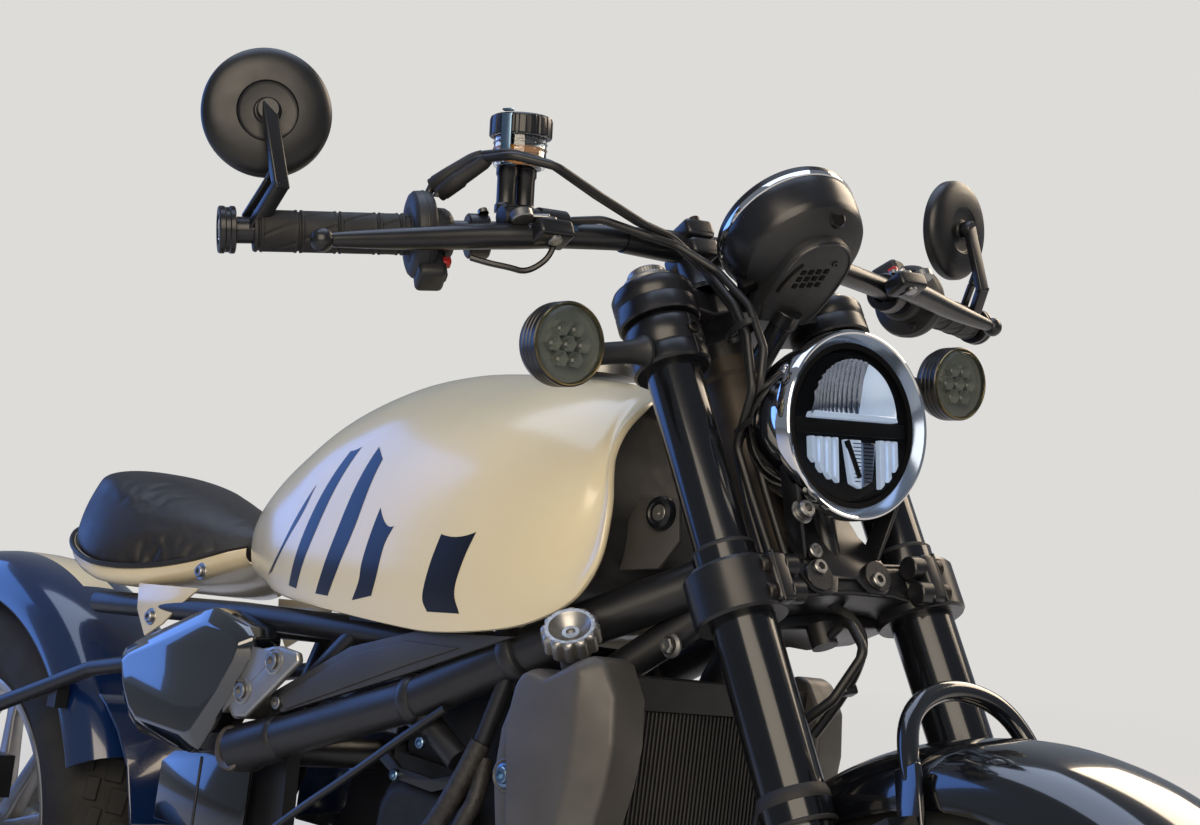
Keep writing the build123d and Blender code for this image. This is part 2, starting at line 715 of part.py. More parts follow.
def rear_fender():
    r, half, t = rear_fender_radius, rear_fender_half, fender_thickness
    outline = [(-half, r - 56), (-half, r - 22), (-half + 24, r - 5), (0, r), (half - 24, r - 5),
               (half, r - 22), (half, r - 56), (half - t, r - 56), (half - t, r - 23), (half - 25, r - 8),
               (0, r - t), (-half + 25, r - 8), (-half + t, r - 23), (-half + t, r - 56)]
    return spun(outline, rear_axle, 143, 24)


def fender_struts():
    strut = pipe([(-235, 96, 600), (-420, 98, 566), behind(142, 110, 177), behind(18, 112, 87),
                  behind(18, 112, 31.8)], 9, 50)
    x, y, z = behind(252, rear_fender_half + gap, 196)
    return both_sides(strut + block((x - 9, x + 9), (y, 102), (z - 6, z + 28)))


def fender_surface():
    x, y, z = rear_axle
    return rod((x, -200, z), (x, 200, z), rear_fender_radius + gap)


def tail_lamp():
    back = rear_fender_radius
    return rod(behind(73 - back, 0, 180), behind(11 - back, 0, 189), 30) - fender_surface()


def plate_holder():
    back = rear_fender_radius
    arm = pipe([behind(43 - back, 0, 123), behind(-9 - back, 0, 105), behind(-45 - back, 0, 57)], 9, 25)
    plate = Pos(*behind(-47 - back, 0, 29)) * Rot(0, 15, 0) * Box(3, 200, 140)
    return arm - fender_surface() + plate


def rear_indicators():
    back = rear_fender_radius
    stalk = rod(behind(-3 - back, 9.2, 107), behind(-3 - back, 112, 107), 7)
    lamp = rod(behind(19 - back, 124, 109), behind(-27 - back, 124, 103), 26)
    return both_sides(stalk + lamp)


def exhaust():
    header = pipe([(278.8, 45, 500), (322, 45, 490.7), (346, 45, 430), (346, 45, 300), (290, 45, 192),
                   (60, 45, 184)], 19, 40)
    box = block((-78, 62), (-72, 72), (152, 214))
    link = pipe([(-60, -60, 178), (-150, -80, 178), (-215, -178, 250), (-260, -182, 273)], 22, 40)
    muffler = rod((-235, -182, 268), (-640, -182, 330), 52)
    return both_sides(header) + box + link + muffler


def foot_controls():
    bracket = slab([(-102, 292), (-70, 298), (20, 286), (26, 258), (-10, 252), (-98, 268)], 83, 95)
    bracket += rod((-85, plate_outer, 282), (-85, 84, 282), 8)
    stay = rod((10, 90, 270), (10, 130, 270), 9)
    peg = rod((10, 128, 270), (10, 228, 270), 14)
    lever = pipe([(12, 112, 272), (60, 140, 252), (150, 143, 252), (200, 160, 268)], 6, 25)
    pad = rod((200, 150, 268), (200, 206, 268), 8)
    return both_sides(bracket + stay + peg + lever + pad)


def drive_chain():
    fx, fz = front_sprocket
    rx, rz = rear_axle[0], rear_axle[2]
    outer_f, outer_r = front_sprocket_radius + chain_thick, rear_sprocket_radius + chain_thick + 6
    with BuildSketch(Plane(origin=(0, chain_line + chain_half, 0), x_dir=(1, 0, 0), z_dir=(0, -1, 0))) as loop:
        with Locations((fx, fz)):
            Circle(outer_f)
        with Locations((rx, rz)):
            Circle(outer_r)
        make_hull()
    with BuildSketch(Plane(origin=(0, chain_line + chain_half, 0), x_dir=(1, 0, 0), z_dir=(0, -1, 0))) as hole:
        with Locations((fx, fz)):
            Circle(outer_f - chain_thick)
        with Locations((rx, rz)):
            Circle(outer_r - chain_thick)
        make_hull()
    return extrude(loop.sketch - hole.sketch, 2 * chain_half)


def rear_sprocket():
    x, y, z = rear_axle
    ring = sleeve((x, chain_line - 3, z), (x, chain_line + 3, z), rear_sprocket_radius, 66)
    for index in range(5):
        ring += Pos(x, chain_line, z) * Rot(0, 72 * index, 0) * Pos(0, 0, 52) * Box(22, 6, 40)
    carrier = rod((x, hub_half, z), (x, chain_line + 8, z), hub_radius + 4)
    return ring + carrier - rod((x, 0, z), (x, 150, z), axle_radius + running)


def side_stand():
    # the foot's sole lies on the ground once the machine leans
    slope = tan(radians(lean))
    hinge = Vector(*stand_pivot)
    foot = Vector(hinge.X + stand_foot_ahead, stand_foot_y, stand_foot_y * slope)
    sole_up = Vector(0, -sin(radians(lean)), cos(radians(lean)))
    leg = rod(tuple(hinge), tuple(foot + sole_up * stand_radius), stand_radius)
    eye = rod(tuple(hinge - stand_pin * stand_eye_half), tuple(hinge + stand_pin * stand_eye_half), 19)
    ground = Plane(origin=tuple(foot), x_dir=(1, 0, 0), z_dir=tuple(sole_up))
    sole = extrude(ground * Circle(24), 8)
    stand = leg + eye + sole
    return stand - rod(tuple(hinge - stand_pin * 30), tuple(hinge + stand_pin * 30), 6 + running)


# Assembly

steering_turn = Axis(tuple(fork_frame.from_local_coords((-fork_offset, 0, 0))), tuple(fork_frame.z_dir))
steering_pieces = {
    "fork_tubes": fork_tubes(),
    "fork_sliders": fork_sliders(),
    "front_axle": front_axle_rod(),
    "lower_clamp": lower_clamp(),
    "upper_clamp": upper_clamp(),
    "handlebar": handlebar(),
    "grips": grips(),
    "switch_housings": switch_housings(),
    "hand_levers": hand_levers(),
    "brake_reservoir": brake_reservoir(),
    "mirror_arms": mirror_arms(),
    "mirror_shells": mirror_shells(),
    "mirror_glasses": mirror_glasses(),
    "front_indicators": front_indicators(),
    "headlight_bucket": headlight_bucket(),
    "headlight_rim": headlight_rim(),
    "headlight_lens": headlight_lens(),
    "gauge_pod": gauge_pod(),
    "gauge_rim": gauge_rim(),
    "front_fender": front_fender(),
    "fork_brace": fork_brace(),
    "front_caliper": front_caliper(),
    "brake_hose": brake_hose(),
    "cables": cable_bundle(),
    "front_tyre": tyre(front_radius, front_width, (0, 0, 0)),
    "front_wheel": cast_wheel(front_width, (0, 0, 0)),
    "front_disc": brake_disc((0, 0, 0), -front_disc_side, 150, 100),
}
chassis_pieces = {
    "frame": frame(),
    "engine_case": engine_case(),
    "cylinder_head": cylinder_head(),
    "engine_covers": engine_covers(),
    "radiator": radiator(),
    "radiator_shrouds": radiator_shrouds(),
    "radiator_cap": radiator_cap(),
    "fuel_tank": fuel_tank(),
    "filler_cap": filler_cap(),
    "tank_side_panels": tank_side_panels(),
    "frame_plates": frame_plates(),
    "side_covers": side_covers(),
    "key_lock": key_lock(),
    "seat_cushion": seat_cushion(),
    "seat_pan": seat_pan(),
    "swingarm": swingarm(),
    "swingarm_pivot": swingarm_pivot(),
    "rear_axle": rear_axle_rod(),
    "rear_shock": rear_shock(),
    "rear_caliper": rear_caliper(),
    "rear_fender": rear_fender(),
    "fender_struts": fender_struts(),
    "tail_lamp": tail_lamp(),
    "plate_holder": plate_holder(),
    "rear_indicators": rear_indicators(),
    "exhaust": exhaust(),
    "foot_controls": foot_controls(),
    "drive_chain": drive_chain(),
    "rear_tyre": tyre(rear_radius, rear_width, rear_axle),
    "rear_wheel": cast_wheel(rear_width, rear_axle),
    "rear_disc": brake_disc(rear_axle, -rear_disc_side, 120, 80),
    "rear_sprocket": rear_sprocket(),
    "side_stand": side_stand(),
}

pieces = dict(chassis_pieces)
for name, shape in steering_pieces.items():
    pieces[name] = (fork_frame.location * shape).rotate(steering_turn, steer)

lift = crown_radius * (1 - cos(radians(lean)))
leaning = {name: Pos(0, 0, lift) * shape.rotate(Axis.X, -lean) for name, shape in pieces.items()}
boxes = [shape.bounding_box() for shape in leaning.values()]
middle_x = (min(box.min.X for box in boxes) + max(box.max.X for box in boxes)) / 2
middle_y = (min(box.min.Y for box in boxes) + max(box.max.Y for box in boxes)) / 2
for name, shape in leaning.items():
    export_step(Pos(-middle_x, -middle_y, 0) * shape, f"parts/{name}.step")
print("shift", round(middle_x, 4), round(middle_y, 4), "lift", round(lift, 4))
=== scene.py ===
import json
import math

import bmesh
import bpy
from mathutils import Matrix, Vector


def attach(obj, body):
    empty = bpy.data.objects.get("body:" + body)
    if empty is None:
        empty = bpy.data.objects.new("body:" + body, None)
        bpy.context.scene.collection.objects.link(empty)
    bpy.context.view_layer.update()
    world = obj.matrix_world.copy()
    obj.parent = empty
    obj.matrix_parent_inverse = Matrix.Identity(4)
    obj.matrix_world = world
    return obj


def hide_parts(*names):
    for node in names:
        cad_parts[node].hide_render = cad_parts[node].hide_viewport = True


# A bobber motorcycle on its side stand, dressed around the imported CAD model.
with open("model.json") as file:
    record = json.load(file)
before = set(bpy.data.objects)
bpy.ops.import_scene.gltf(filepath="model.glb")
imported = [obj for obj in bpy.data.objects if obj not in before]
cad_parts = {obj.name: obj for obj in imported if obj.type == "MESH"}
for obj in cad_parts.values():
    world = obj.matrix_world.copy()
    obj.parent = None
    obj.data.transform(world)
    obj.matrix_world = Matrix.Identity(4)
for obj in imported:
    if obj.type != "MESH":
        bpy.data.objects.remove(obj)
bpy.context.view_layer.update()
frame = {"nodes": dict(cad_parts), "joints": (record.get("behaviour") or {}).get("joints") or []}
nodes = frame["nodes"]
scene = bpy.context.scene
print("frame loaded:", len(nodes), "nodes")


# The bike's own upright frame and the fork's frame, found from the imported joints
joints = {joint["name"]: joint for joint in frame["joints"]}
forkRake = 28                                   # degrees from the plumb line
rearAxle = Vector((-0.7425, 0, 0.323))          # in the bike's frame, metres


def axisOf(name):
    return Vector(joints[name]["axis"]).normalized()


def columnsTurn(*columns):
    return Matrix(columns).transposed()


bikeSide, bikeAhead = axisOf("rear_wheel_spin"), Vector((1, 0, 0))
bikeTurn = columnsTurn(bikeAhead, bikeSide, bikeAhead.cross(bikeSide))
bikeOrigin = Vector(joints["rear_wheel_spin"]["pos_m"]) - bikeTurn @ rearAxle
bikePlace = Matrix.Translation(bikeOrigin) @ bikeTurn.to_4x4()
rearPlace = bikePlace @ Matrix.Translation(rearAxle)

forkUp, forkSide = axisOf("steering"), axisOf("front_wheel_spin")
forkTurn = columnsTurn(forkSide.cross(forkUp), forkSide, forkUp)
forkPlace = Matrix.Translation(joints["front_wheel_spin"]["pos_m"]) @ forkTurn.to_4x4()

# the frame that each body's pieces are drawn in
bodyPlaces = {"chassis": bikePlace, "steering": forkPlace, "front_wheel": forkPlace, "rear_wheel": rearPlace}


# Camera
cameraFacts = {
    "fromBike": (1.4192, -1.0925, 0.9065),      # metres from the bike's origin
    "heading": 133.828,                         # degrees from +X
    "pitch": -1.071, "roll": 0.490,
    "lens": 54.905, "sensor": 36, "clip": (0.05, 60),
}


def makeCamera(facts):
    heading, pitch, roll = (math.radians(facts[k]) for k in ("heading", "pitch", "roll"))
    look = Vector((math.cos(pitch) * math.cos(heading), math.cos(pitch) * math.sin(heading), math.sin(pitch)))
    right = look.cross(Vector((0, 0, 1))).normalized()
    top = right.cross(look)
    tiltedRight = right * math.cos(roll) + top * math.sin(roll)
    tiltedTop = top * math.cos(roll) - right * math.sin(roll)
    data = bpy.data.cameras.new("camera")
    data.lens, data.sensor_width = facts["lens"], facts["sensor"]
    data.clip_start, data.clip_end = facts["clip"]
    camera = bpy.data.objects.new("camera", data)
    turn = columnsTurn(tiltedRight, tiltedTop, -look).to_4x4()
    camera.matrix_world = Matrix.Translation(bikeOrigin + Vector(facts["fromBike"])) @ turn
    scene.collection.objects.link(camera)
    scene.camera = camera


makeCamera(cameraFacts)
print("camera placed")


# Colours and nodes
def hexColour(text):
    # sRGB hex to the linear values that nodes take
    channels = [int(text[i:i + 2], 16) / 255 for i in (1, 3, 5)]
    return [c / 12.92 if c <= 0.04045 else ((c + 0.055) / 1.055) ** 2.4 for c in channels] + [1.0]


def addNode(tree, kind, settings=None, links=None):
    node = tree.nodes.new(kind)
    for key, value in (settings or {}).items():
        if key in node.inputs.keys():
            node.inputs[key].default_value = value
        else:
            setattr(node, key, value)
    for key, source in (links or {}).items():
        tree.links.new(source, node.inputs[key])
    return node


def newMaterial(name, shader):
    # a named finish: its tree, its shader and the object's own coordinates
    material = bpy.data.materials.new(name)
    material.use_nodes = True
    tree = material.node_tree
    tree.nodes.clear()
    output = addNode(tree, "ShaderNodeOutputMaterial")
    finish = addNode(tree, "ShaderNodeBsdfPrincipled", shader)
    tree.links.new(finish.outputs[0], output.inputs[0])
    place = addNode(tree, "ShaderNodeTexCoord")
    return material, tree, finish, place.outputs["Object"]


def noiseOf(tree, place, sizeMm, detail):
    noise = addNode(tree, "ShaderNodeTexNoise", {"Scale": 1000 / sizeMm, "Detail": detail}, {"Vector": place})
    return noise.outputs["Fac"]


def roughSurface(tree, finish, place, grainMm, depthMm, roughLow, roughHigh):
    # a grain of a real size moves the surface, and patches 24 times as wide change its roughness
    height = noiseOf(tree, place, grainMm, 4.0)
    bump = addNode(tree, "ShaderNodeBump", {"Strength": 1.0, "Distance": depthMm / 1000}, {"Height": height})
    tree.links.new(bump.outputs[0], finish.inputs["Normal"])
    if roughLow != roughHigh:
        limits = {"From Min": 0.3, "From Max": 0.7, "To Min": roughLow, "To Max": roughHigh}
        spread = addNode(tree, "ShaderNodeMapRange", limits, {"Value": noiseOf(tree, place, grainMm * 24, 3.0)})
        tree.links.new(spread.outputs[0], finish.inputs["Roughness"])


def tintedColour(tree, finish, place, low, high, patchMm):
    # slow changes of colour between two tints
    ramp = addNode(tree, "ShaderNodeValToRGB", {}, {"Fac": noiseOf(tree, place, patchMm, 5.0)})
    for element, position, colour in zip(ramp.color_ramp.elements, (0.35, 0.65), (low, high)):
        element.position, element.color = position, hexColour(colour)
    tree.links.new(ramp.outputs["Color"], finish.inputs["Base Color"])


def coat(weight, rough, **more):
    return {"Coat Weight": weight, "Coat Roughness": rough, **more}


def metallic(share):
    return {"Metallic": share}


plainFinishes = {
    # name: tints, patch mm, grain mm, depth mm, roughness low and high, shader settings
    "satinPowderCoat": ("#16171a", "#1c1d21", 90, 1.6, 0.012, 0.34, 0.42, {}),              # fine orange peel
    "satinBlackPaint": ("#121316", "#18191d", 70, 1.2, 0.008, 0.26, 0.34, {}),              # smoother than powder
    "mattBlackAbs": ("#17181a", "#1d1e20", 40, 0.5, 0.02, 0.45, 0.55, {}),                  # spark-eroded grain
    "glossBlackEnamel": ("#08090c", "#0b0d12", 120, 30, 0.02, 0.12, 0.16, coat(1.0, 0.04)),
    "mirrorBlackEnamel": ("#070a10", "#0a0e16", 120, 30, 0.01, 0.1, 0.14, coat(1.0, 0.03, **{"Coat IOR": 1.9})),
    "darkForkEnamel": ("#15171b", "#1b1d22", 150, 12, 0.01, 0.16, 0.22, coat(0.4, 0.07, Metallic=0.5)),
    "castGreyAluminium": ("#2b2c2e", "#343537", 30, 0.9, 0.03, 0.42, 0.56, metallic(0.7)),  # sand-cast and painted
    "castSilverAluminium": ("#9b9a97", "#aeadaa", 40, 0.8, 0.02, 0.32, 0.42, metallic(0.9)),  # bead-blasted casting
    "wheelSilver": ("#a3a4a6", "#b2b3b5", 60, 1.0, 0.01, 0.28, 0.36, metallic(0.8)),        # silver wheel lacquer
    "brushedSteel": ("#8d8d8c", "#a1a1a0", 25, 0.6, 0.01, 0.28, 0.4, metallic(1.0)),        # bolts, discs, axles
    "chromePlate": ("#d6d8da", "#dfe0e2", 80, 60, 0.01, 0.03, 0.06, metallic(1.0)),         # plated steel
    "tyreRubber": ("#191919", "#222221", 30, 1.5, 0.05, 0.72, 0.85, {}),
    "gripRubber": ("#141415", "#1a1a1b", 20, 0.8, 0.03, 0.6, 0.7, {}),
    "bronzeGreyAbs": ("#4a4845", "#545250", 60, 0.45, 0.03, 0.42, 0.52, metallic(0.25)),    # leathery mould grain
    "greyPanelAbs": ("#2e2f33", "#36373b", 60, 0.45, 0.02, 0.4, 0.5, {}),                   # fine mould grain
    "radiatorBlack": ("#101112", "#161718", 30, 0.8, 0.02, 0.4, 0.55, {}),                  # thin black on fins
    "darkSteelSatin": ("#2e2c2a", "#3a3735", 40, 1.0, 0.015, 0.35, 0.48, metallic(0.8)),    # blackened steel
    "oiledChainSteel": ("#4b4742", "#5e5952", 12, 1.0, 0.03, 0.35, 0.5, metallic(0.9)),     # chain with its oil
    "ivorySteel": ("#cfc4a6", "#d5caae", 90, 20, 0.01, 0.2, 0.28, coat(0.5, 0.12)),         # painted pressings
    "ivoryPaint": ("#d3c7a6", "#d8cdae", 200, 30, 0.01, 0.2, 0.26, coat(0.6, 0.14)),        # the tank's enamel
    "blueBlackPaint": ("#0a1d40", "#0d244e", 200, 30, 0.01, 0.14, 0.2, coat(0.8, 0.05)),    # rear fender's enamel
    "seatLeather": ("#1a1919", "#222020", 50, 1.4, 0.08, 0.42, 0.52, {}),                   # black hide
    "whitePlastic": ("#dedcd6", "#e4e2dc", 60, 1.0, 0.01, 0.3, 0.36, {}),                   # marks, lamp cells
    "stripePaint": ("#090b14", "#0b0e19", 200, 30, 0.01, 0.3, 0.36,
                    coat(0.3, 0.14, **{"Specular IOR Level": 0.3})),                        # the tank's stripes
    "bronzeCastSteel": ("#37322c", "#48423a", 40, 1.2, 0.06, 0.38, 0.5, metallic(0.7)),     # lacquered casting
    "blueZincSteel": ("#6f8aa4", "#8299b0", 20, 2, 0.01, 0.24, 0.32, metallic(1.0)),        # blue passivated zinc
    # the lamp rim's bevel is plated metal; its blue-grey tint is a painted reflection of blue sky
    "blueGreyBevel": ("#7f8ea3", "#8b9ab0", 80, 4, 0.005, 0.16, 0.2, metallic(0.8)),        # the lamp rim's bevel
    "reflectorSilver": ("#8f9aac", "#a7b2c4", 60, 6, 0.006, 0.1, 0.16, metallic(1.0)),      # vacuum-coated plastic
    "lampSilverPlastic": ("#8f9691", "#a4aba5", 20, 3, 0.01, 0.2, 0.26, metallic(0.3)),     # silvered plastic
    "lampBlack": ("#050506", "#08080a", 40, 1.0, 0.01, 0.5, 0.6, {"Specular IOR Level": 0.1}),
    "litReflector": ("#9fb0c8", "#c3d2e6", 20, 4, 0.006, 0.14, 0.2,                         # glows a little
                     {"Metallic": 0.7, "Emission Strength": 0.5, "Emission Color": hexColour("#cfe3ff")}),
    "brassTintPlate": ("#7d6f4c", "#8d7e58", 60, 10, 0.006, 0.16, 0.22, metallic(1.0)),     # tinted chrome ring
    "mirrorBackAbs": ("#0e0f11", "#131417", 40, 0.7, 0.05, 0.34, 0.44, {}),                 # leather-grained moulding
    "redPlastic": ("#a01812", "#ab1d16", 40, 1.0, 0.01, 0.3, 0.36, {}),                     # the stop switch
    "bronzeAlloy": ("#6b6257", "#7d7366", 30, 0.8, 0.02, 0.3, 0.4, metallic(0.9)),          # pivot rings
    "braidedSleeve": ("#1b1a1a", "#2c2a29", 6, 2.2, 0.5, 0.45, 0.6, {}),                    # woven heat sleeve
    "hoseRubber": ("#121213", "#181819", 30, 0.6, 0.02, 0.38, 0.48, {}),                    # cables and hoses
}
finishes = {}
for name, (low, high, patch, grain, depth, roughLow, roughHigh, shader) in plainFinishes.items():
    material, tree, finish, place = newMaterial(name, {"Roughness": (roughLow + roughHigh) / 2, **shader})
    tintedColour(tree, finish, place, low, high, patch)
    roughSurface(tree, finish, place, grain, depth, roughLow, roughHigh)
    finishes[name] = material

evenFinishes = {
    # name: colour, roughness, grain mm, depth mm, shader settings
    "clearPolycarbonate": ("#f4f7fa", 0.02, 25, 0.01, {"IOR": 1.58, "Transmission Weight": 1.0}),
    "smokedPolycarbonate": ("#5c5c5e", 0.04, 25, 0.02, {"IOR": 1.58, "Transmission Weight": 1.0}),
    "redPolycarbonate": ("#8c0f0c", 0.06, 25, 0.02, {"IOR": 1.58, "Transmission Weight": 1.0}),
    "amberFluid": ("#b0701e", 0.03, 25, 0.01, {"IOR": 1.45, "Transmission Weight": 1.0}),
    # thin skins that let lamp light straight through
    "lampGlass": ("#0c0f12", 0.02, 25, 0.01, {"IOR": 1.5, "Alpha": 0.12}),
    "greenSmoke": ("#1f2620", 0.03, 25, 0.02, {"IOR": 1.5, "Alpha": 0.26}),
    "mirrorGlass": ("#e6e9ec", 0.02, 80, 0.002, metallic(1.0)),
}
for name, (colour, rough, grain, depth, shader) in evenFinishes.items():
    material, tree, finish, place = newMaterial(name, {"Base Color": hexColour(colour), "Roughness": rough, **shader})
    roughSurface(tree, finish, place, grain, depth, rough, rough)
    finishes[name] = material
print("finishes made:", len(finishes))

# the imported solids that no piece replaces; every other one is satin black
nodeFinishes = {
    "satinPowderCoat": ("frame", "swingarm", "fender_struts", "side_stand"),
    "castGreyAluminium": ("engine_case", "cylinder_head"),
    "castSilverAluminium": ("frame_plates", "filler_cap"),
    "brushedSteel": ("swingarm_pivot", "rear_axle", "front_axle", "front_disc", "rear_disc"),
    "darkForkEnamel": ("fork_tubes", "fork_sliders"),
    "mattBlackAbs": ("plate_holder", "rear_indicators"),
    "redPolycarbonate": ("tail_lamp",),
    "radiatorBlack": ("radiator",),
    "hoseRubber": ("brake_hose", "cables"),
}
finishOfNode = {node: finish for finish, names in nodeFinishes.items() for node in names}
for name, node in nodes.items():
    node.data.materials.clear()
    node.data.materials.append(finishes[finishOfNode.get(name, "satinBlackPaint")])
print("node finishes set")


# Shapes, in millimetres until they are placed
def vertsIn(found):
    return [g for g in found if isinstance(g, bmesh.types.BMVert)]


def facesIn(found):
    return [g for g in found if isinstance(g, bmesh.types.BMFace)]


def faced(shape):
    bmesh.ops.recalc_face_normals(shape, faces=shape.faces)
    return shape


def merged(shape, near=0.01):
    bmesh.ops.remove_doubles(shape, verts=shape.verts, dist=near)
    return faced(shape)


def closed(shape, near):
    bmesh.ops.remove_doubles(shape, verts=shape.verts, dist=near)
    bmesh.ops.holes_fill(shape, edges=shape.edges, sides=0)
    return faced(shape)


def turned(outline, steps=48):
    # an outline of radius and height, spun about Z
    shape = bmesh.new()
    points = [shape.verts.new((radius, 0, height)) for radius, height in outline]
    edges = [shape.edges.new(pair) for pair in zip(points, points[1:])]
    bmesh.ops.spin(shape, geom=points + edges, axis=(0, 0, 1), cent=(0, 0, 0), angle=math.tau, steps=steps,
                   use_merge=True)
    return merged(shape)


def rounded(shape, edges, width, segments, clamp=False):
    bmesh.ops.bevel(shape, geom=edges, offset=width, segments=segments, profile=0.5, affect="EDGES", material=-1,
                    clamp_overlap=clamp)
    return shape


def softened(shape, width, segments=3, angle=20):
    # rounds only the edges that turn by more than an angle
    edges = [e for e in shape.edges if len(e.link_faces) == 2 and e.calc_face_angle(0) > math.radians(angle)]
    return rounded(shape, edges, width, segments, True)


def softBox(size, edge, segments=3):
    shape = bmesh.new()
    bmesh.ops.create_cube(shape, size=1.0)
    bmesh.ops.scale(shape, vec=size, verts=shape.verts)
    return rounded(shape, shape.edges[:], edge, segments)


def cutPlate(outline, thickness, edge=0.0, segments=2):
    # an outline in X and Y, given a thickness along Z and softened edges
    shape = bmesh.new()
    face = shape.faces.new([shape.verts.new((x, y, 0)) for x, y in outline])
    grown = bmesh.ops.extrude_face_region(shape, geom=[face], use_keep_orig=True)["geom"]
    bmesh.ops.translate(shape, vec=(0, 0, thickness), verts=vertsIn(grown))
    merged(shape)
    return rounded(shape, shape.edges[:], edge, segments) if edge else shape


def liftedFace(outline, face, thick, rise):
    # a shallow moulded cover: a wall round its outline, then slopes up to a flat face
    shape = bmesh.new()
    base = shape.faces.new([shape.verts.new((x, z, 0)) for x, z in outline])
    wall = bmesh.ops.extrude_face_region(shape, geom=[base], use_keep_orig=True)["geom"]
    bmesh.ops.translate(shape, vec=(0, 0, thick), verts=vertsIn(wall))
    lid = facesIn(wall)[0]
    crown = vertsIn(bmesh.ops.extrude_face_region(shape, geom=[lid])["geom"])
    bmesh.ops.delete(shape, geom=[lid], context="FACES_ONLY")
    for vert in crown:
        near = min(range(len(outline)), key=lambda k: math.dist(outline[k], vert.co.xy))
        vert.co = (*face[near], thick + rise)
    return merged(shape)


def sheetOf(columns, rows, spot):
    # a grid, each point placed by its shares across and up
    sheet = bmesh.new()
    bmesh.ops.create_grid(sheet, x_segments=columns, y_segments=rows, size=0.5)
    for vert in sheet.verts:
        vert.co = spot(vert.co.x + 0.5, vert.co.y + 0.5)
    return sheet


def bentRod(points, radius, sides=16, radii=None):
    # a smooth bar through its corner points, from a curve with a round bevel
    curve = bpy.data.curves.new("line", "CURVE")
    curve.dimensions = "3D"
    spline = curve.splines.new("NURBS")
    spline.points.add(len(points) - 1)
    for index, point in enumerate(points):
        spline.points[index].co = (*point, 1)
        spline.points[index].radius = radii[index] if radii else 1.0
    spline.order_u, spline.use_endpoint_u, spline.resolution_u = 3, True, 8
    curve.bevel_depth, curve.bevel_resolution, curve.use_fill_caps = radius, max(1, sides // 4 - 1), True
    holder = bpy.data.objects.new("line", curve)
    mesh = bpy.data.meshes.new_from_object(holder)
    shape = bmesh.new()
    shape.from_mesh(mesh)
    bpy.data.objects.remove(holder)
    bpy.data.curves.remove(curve)
    bpy.data.meshes.remove(mesh)
    return merged(shape)


# Places
def shift(x, y, z):
    return Matrix.Translation((x, y, z))


def about(axis, turn):
    return Matrix.Rotation(turn, 4, axis)


def axes(origin, x, y, z):
    return Matrix.Translation(origin) @ columnsTurn(Vector(x), Vector(y), Vector(z)).to_4x4()


def outward(side, x=0, y=0, z=0):
    # Z points out of the bike's left side, 1, or its right, -1
    return axes((x, y, z), (1, 0, 0), (0, 0, -side), (0, side, 0))


def forward(x, y, z):
    return axes((x, y, z), (0, 1, 0), (0, 0, 1), (1, 0, 0))


def sideways(side, y, x=0, z=0):
    # for what is drawn in X and Z, its thickness going outwards from a side
    return axes((x, side * y, z), (1, 0, 0), (0, 0, 1), (0, side, 0))


def mirrored(side):
    return Matrix.Diagonal((1, side, 1, 1))


def aim(start, end):
    start, end = Vector(start), Vector(end)
    return Matrix.Translation(start) @ (end - start).to_track_quat("Z", "Y").to_matrix().to_4x4()


def leaning(centre, look):
    # Z along a direction in the middle plane, Y to the left
    left = Vector((0, 1, 0))
    return axes(centre, left.cross(look), left, look)


def squared(axis, run):
    # the part of an axis that is square to a direction
    return (Vector(axis) - run * run.dot(Vector(axis))).normalized()


def beam(start, end, across, width, depth, edge=1.4):
    start, end = Vector(start), Vector(end)
    z = (end - start).normalized()
    x = squared(across, z)
    shape = softBox((width, depth, (end - start).length), edge)
    bmesh.ops.transform(shape, matrix=axes((start + end) / 2, x, z.cross(x), z), verts=shape.verts)
    return shape


def add(target, part, place=None, material=0):
    # part joins target, at its place
    if place is not None:
        bmesh.ops.transform(part, matrix=place, verts=part.verts)
        if place.determinant() < 0:
            bmesh.ops.reverse_faces(part, faces=part.faces)
    for face in part.faces:
        face.material_index = material
    mesh = bpy.data.meshes.new("part")
    part.to_mesh(mesh)
    part.free()
    target.from_mesh(mesh)
    bpy.data.meshes.remove(mesh)


def newShapes(count):
    return [bmesh.new() for index in range(count)]


def twoSided(shape):
    # the same on the other side of the middle plane
    grown = bmesh.ops.duplicate(shape, geom=shape.verts[:] + shape.edges[:] + shape.faces[:])["geom"]
    bmesh.ops.scale(shape, vec=(1, -1, 1), verts=vertsIn(grown))
    bmesh.ops.reverse_faces(shape, faces=facesIn(grown))
    return shape


def smoothFaces(mesh):
    mesh.polygons.foreach_set("use_smooth", [True] * len(mesh.polygons))


def makePiece(name, shape, body, finish, stands="", sharp=32, where=None):
    place = bodyPlaces[body] if where is None else where
    bmesh.ops.transform(shape, matrix=place @ Matrix.Scale(0.001, 4), verts=shape.verts)
    mesh = bpy.data.meshes.new(name)
    shape.to_mesh(mesh)
    shape.free()
    smoothFaces(mesh)
    mesh.set_sharp_from_angle(angle=math.radians(sharp))
    piece = bpy.data.objects.new(name, mesh)
    scene.collection.objects.link(piece)
    for each in finish.split():
        mesh.materials.append(finishes[each])
    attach(piece, body)
    if stands:
        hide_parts(*stands.split())
    return piece


def along(table, x):
    # a smooth curve through a short table of pairs
    if x <= table[0][0]:
        return table[0][1]
    if x >= table[-1][0]:
        return table[-1][1]
    i = next(k for k in range(len(table) - 1) if x <= table[k + 1][0])

    def slope(k):
        low, high = max(k - 1, 0), min(k + 1, len(table) - 1)
        return (table[high][1] - table[low][1]) / (table[high][0] - table[low][0])
    (x0, y0), (x1, y1) = table[i], table[i + 1]
    h = x1 - x0
    t = (x - x0) / h
    return (y0 * (1 + 2 * t) * (1 - t) ** 2 + y1 * t * t * (3 - 2 * t)
            + h * (slope(i) * t * (1 - t) ** 2 - slope(i + 1) * t * t * (1 - t)))


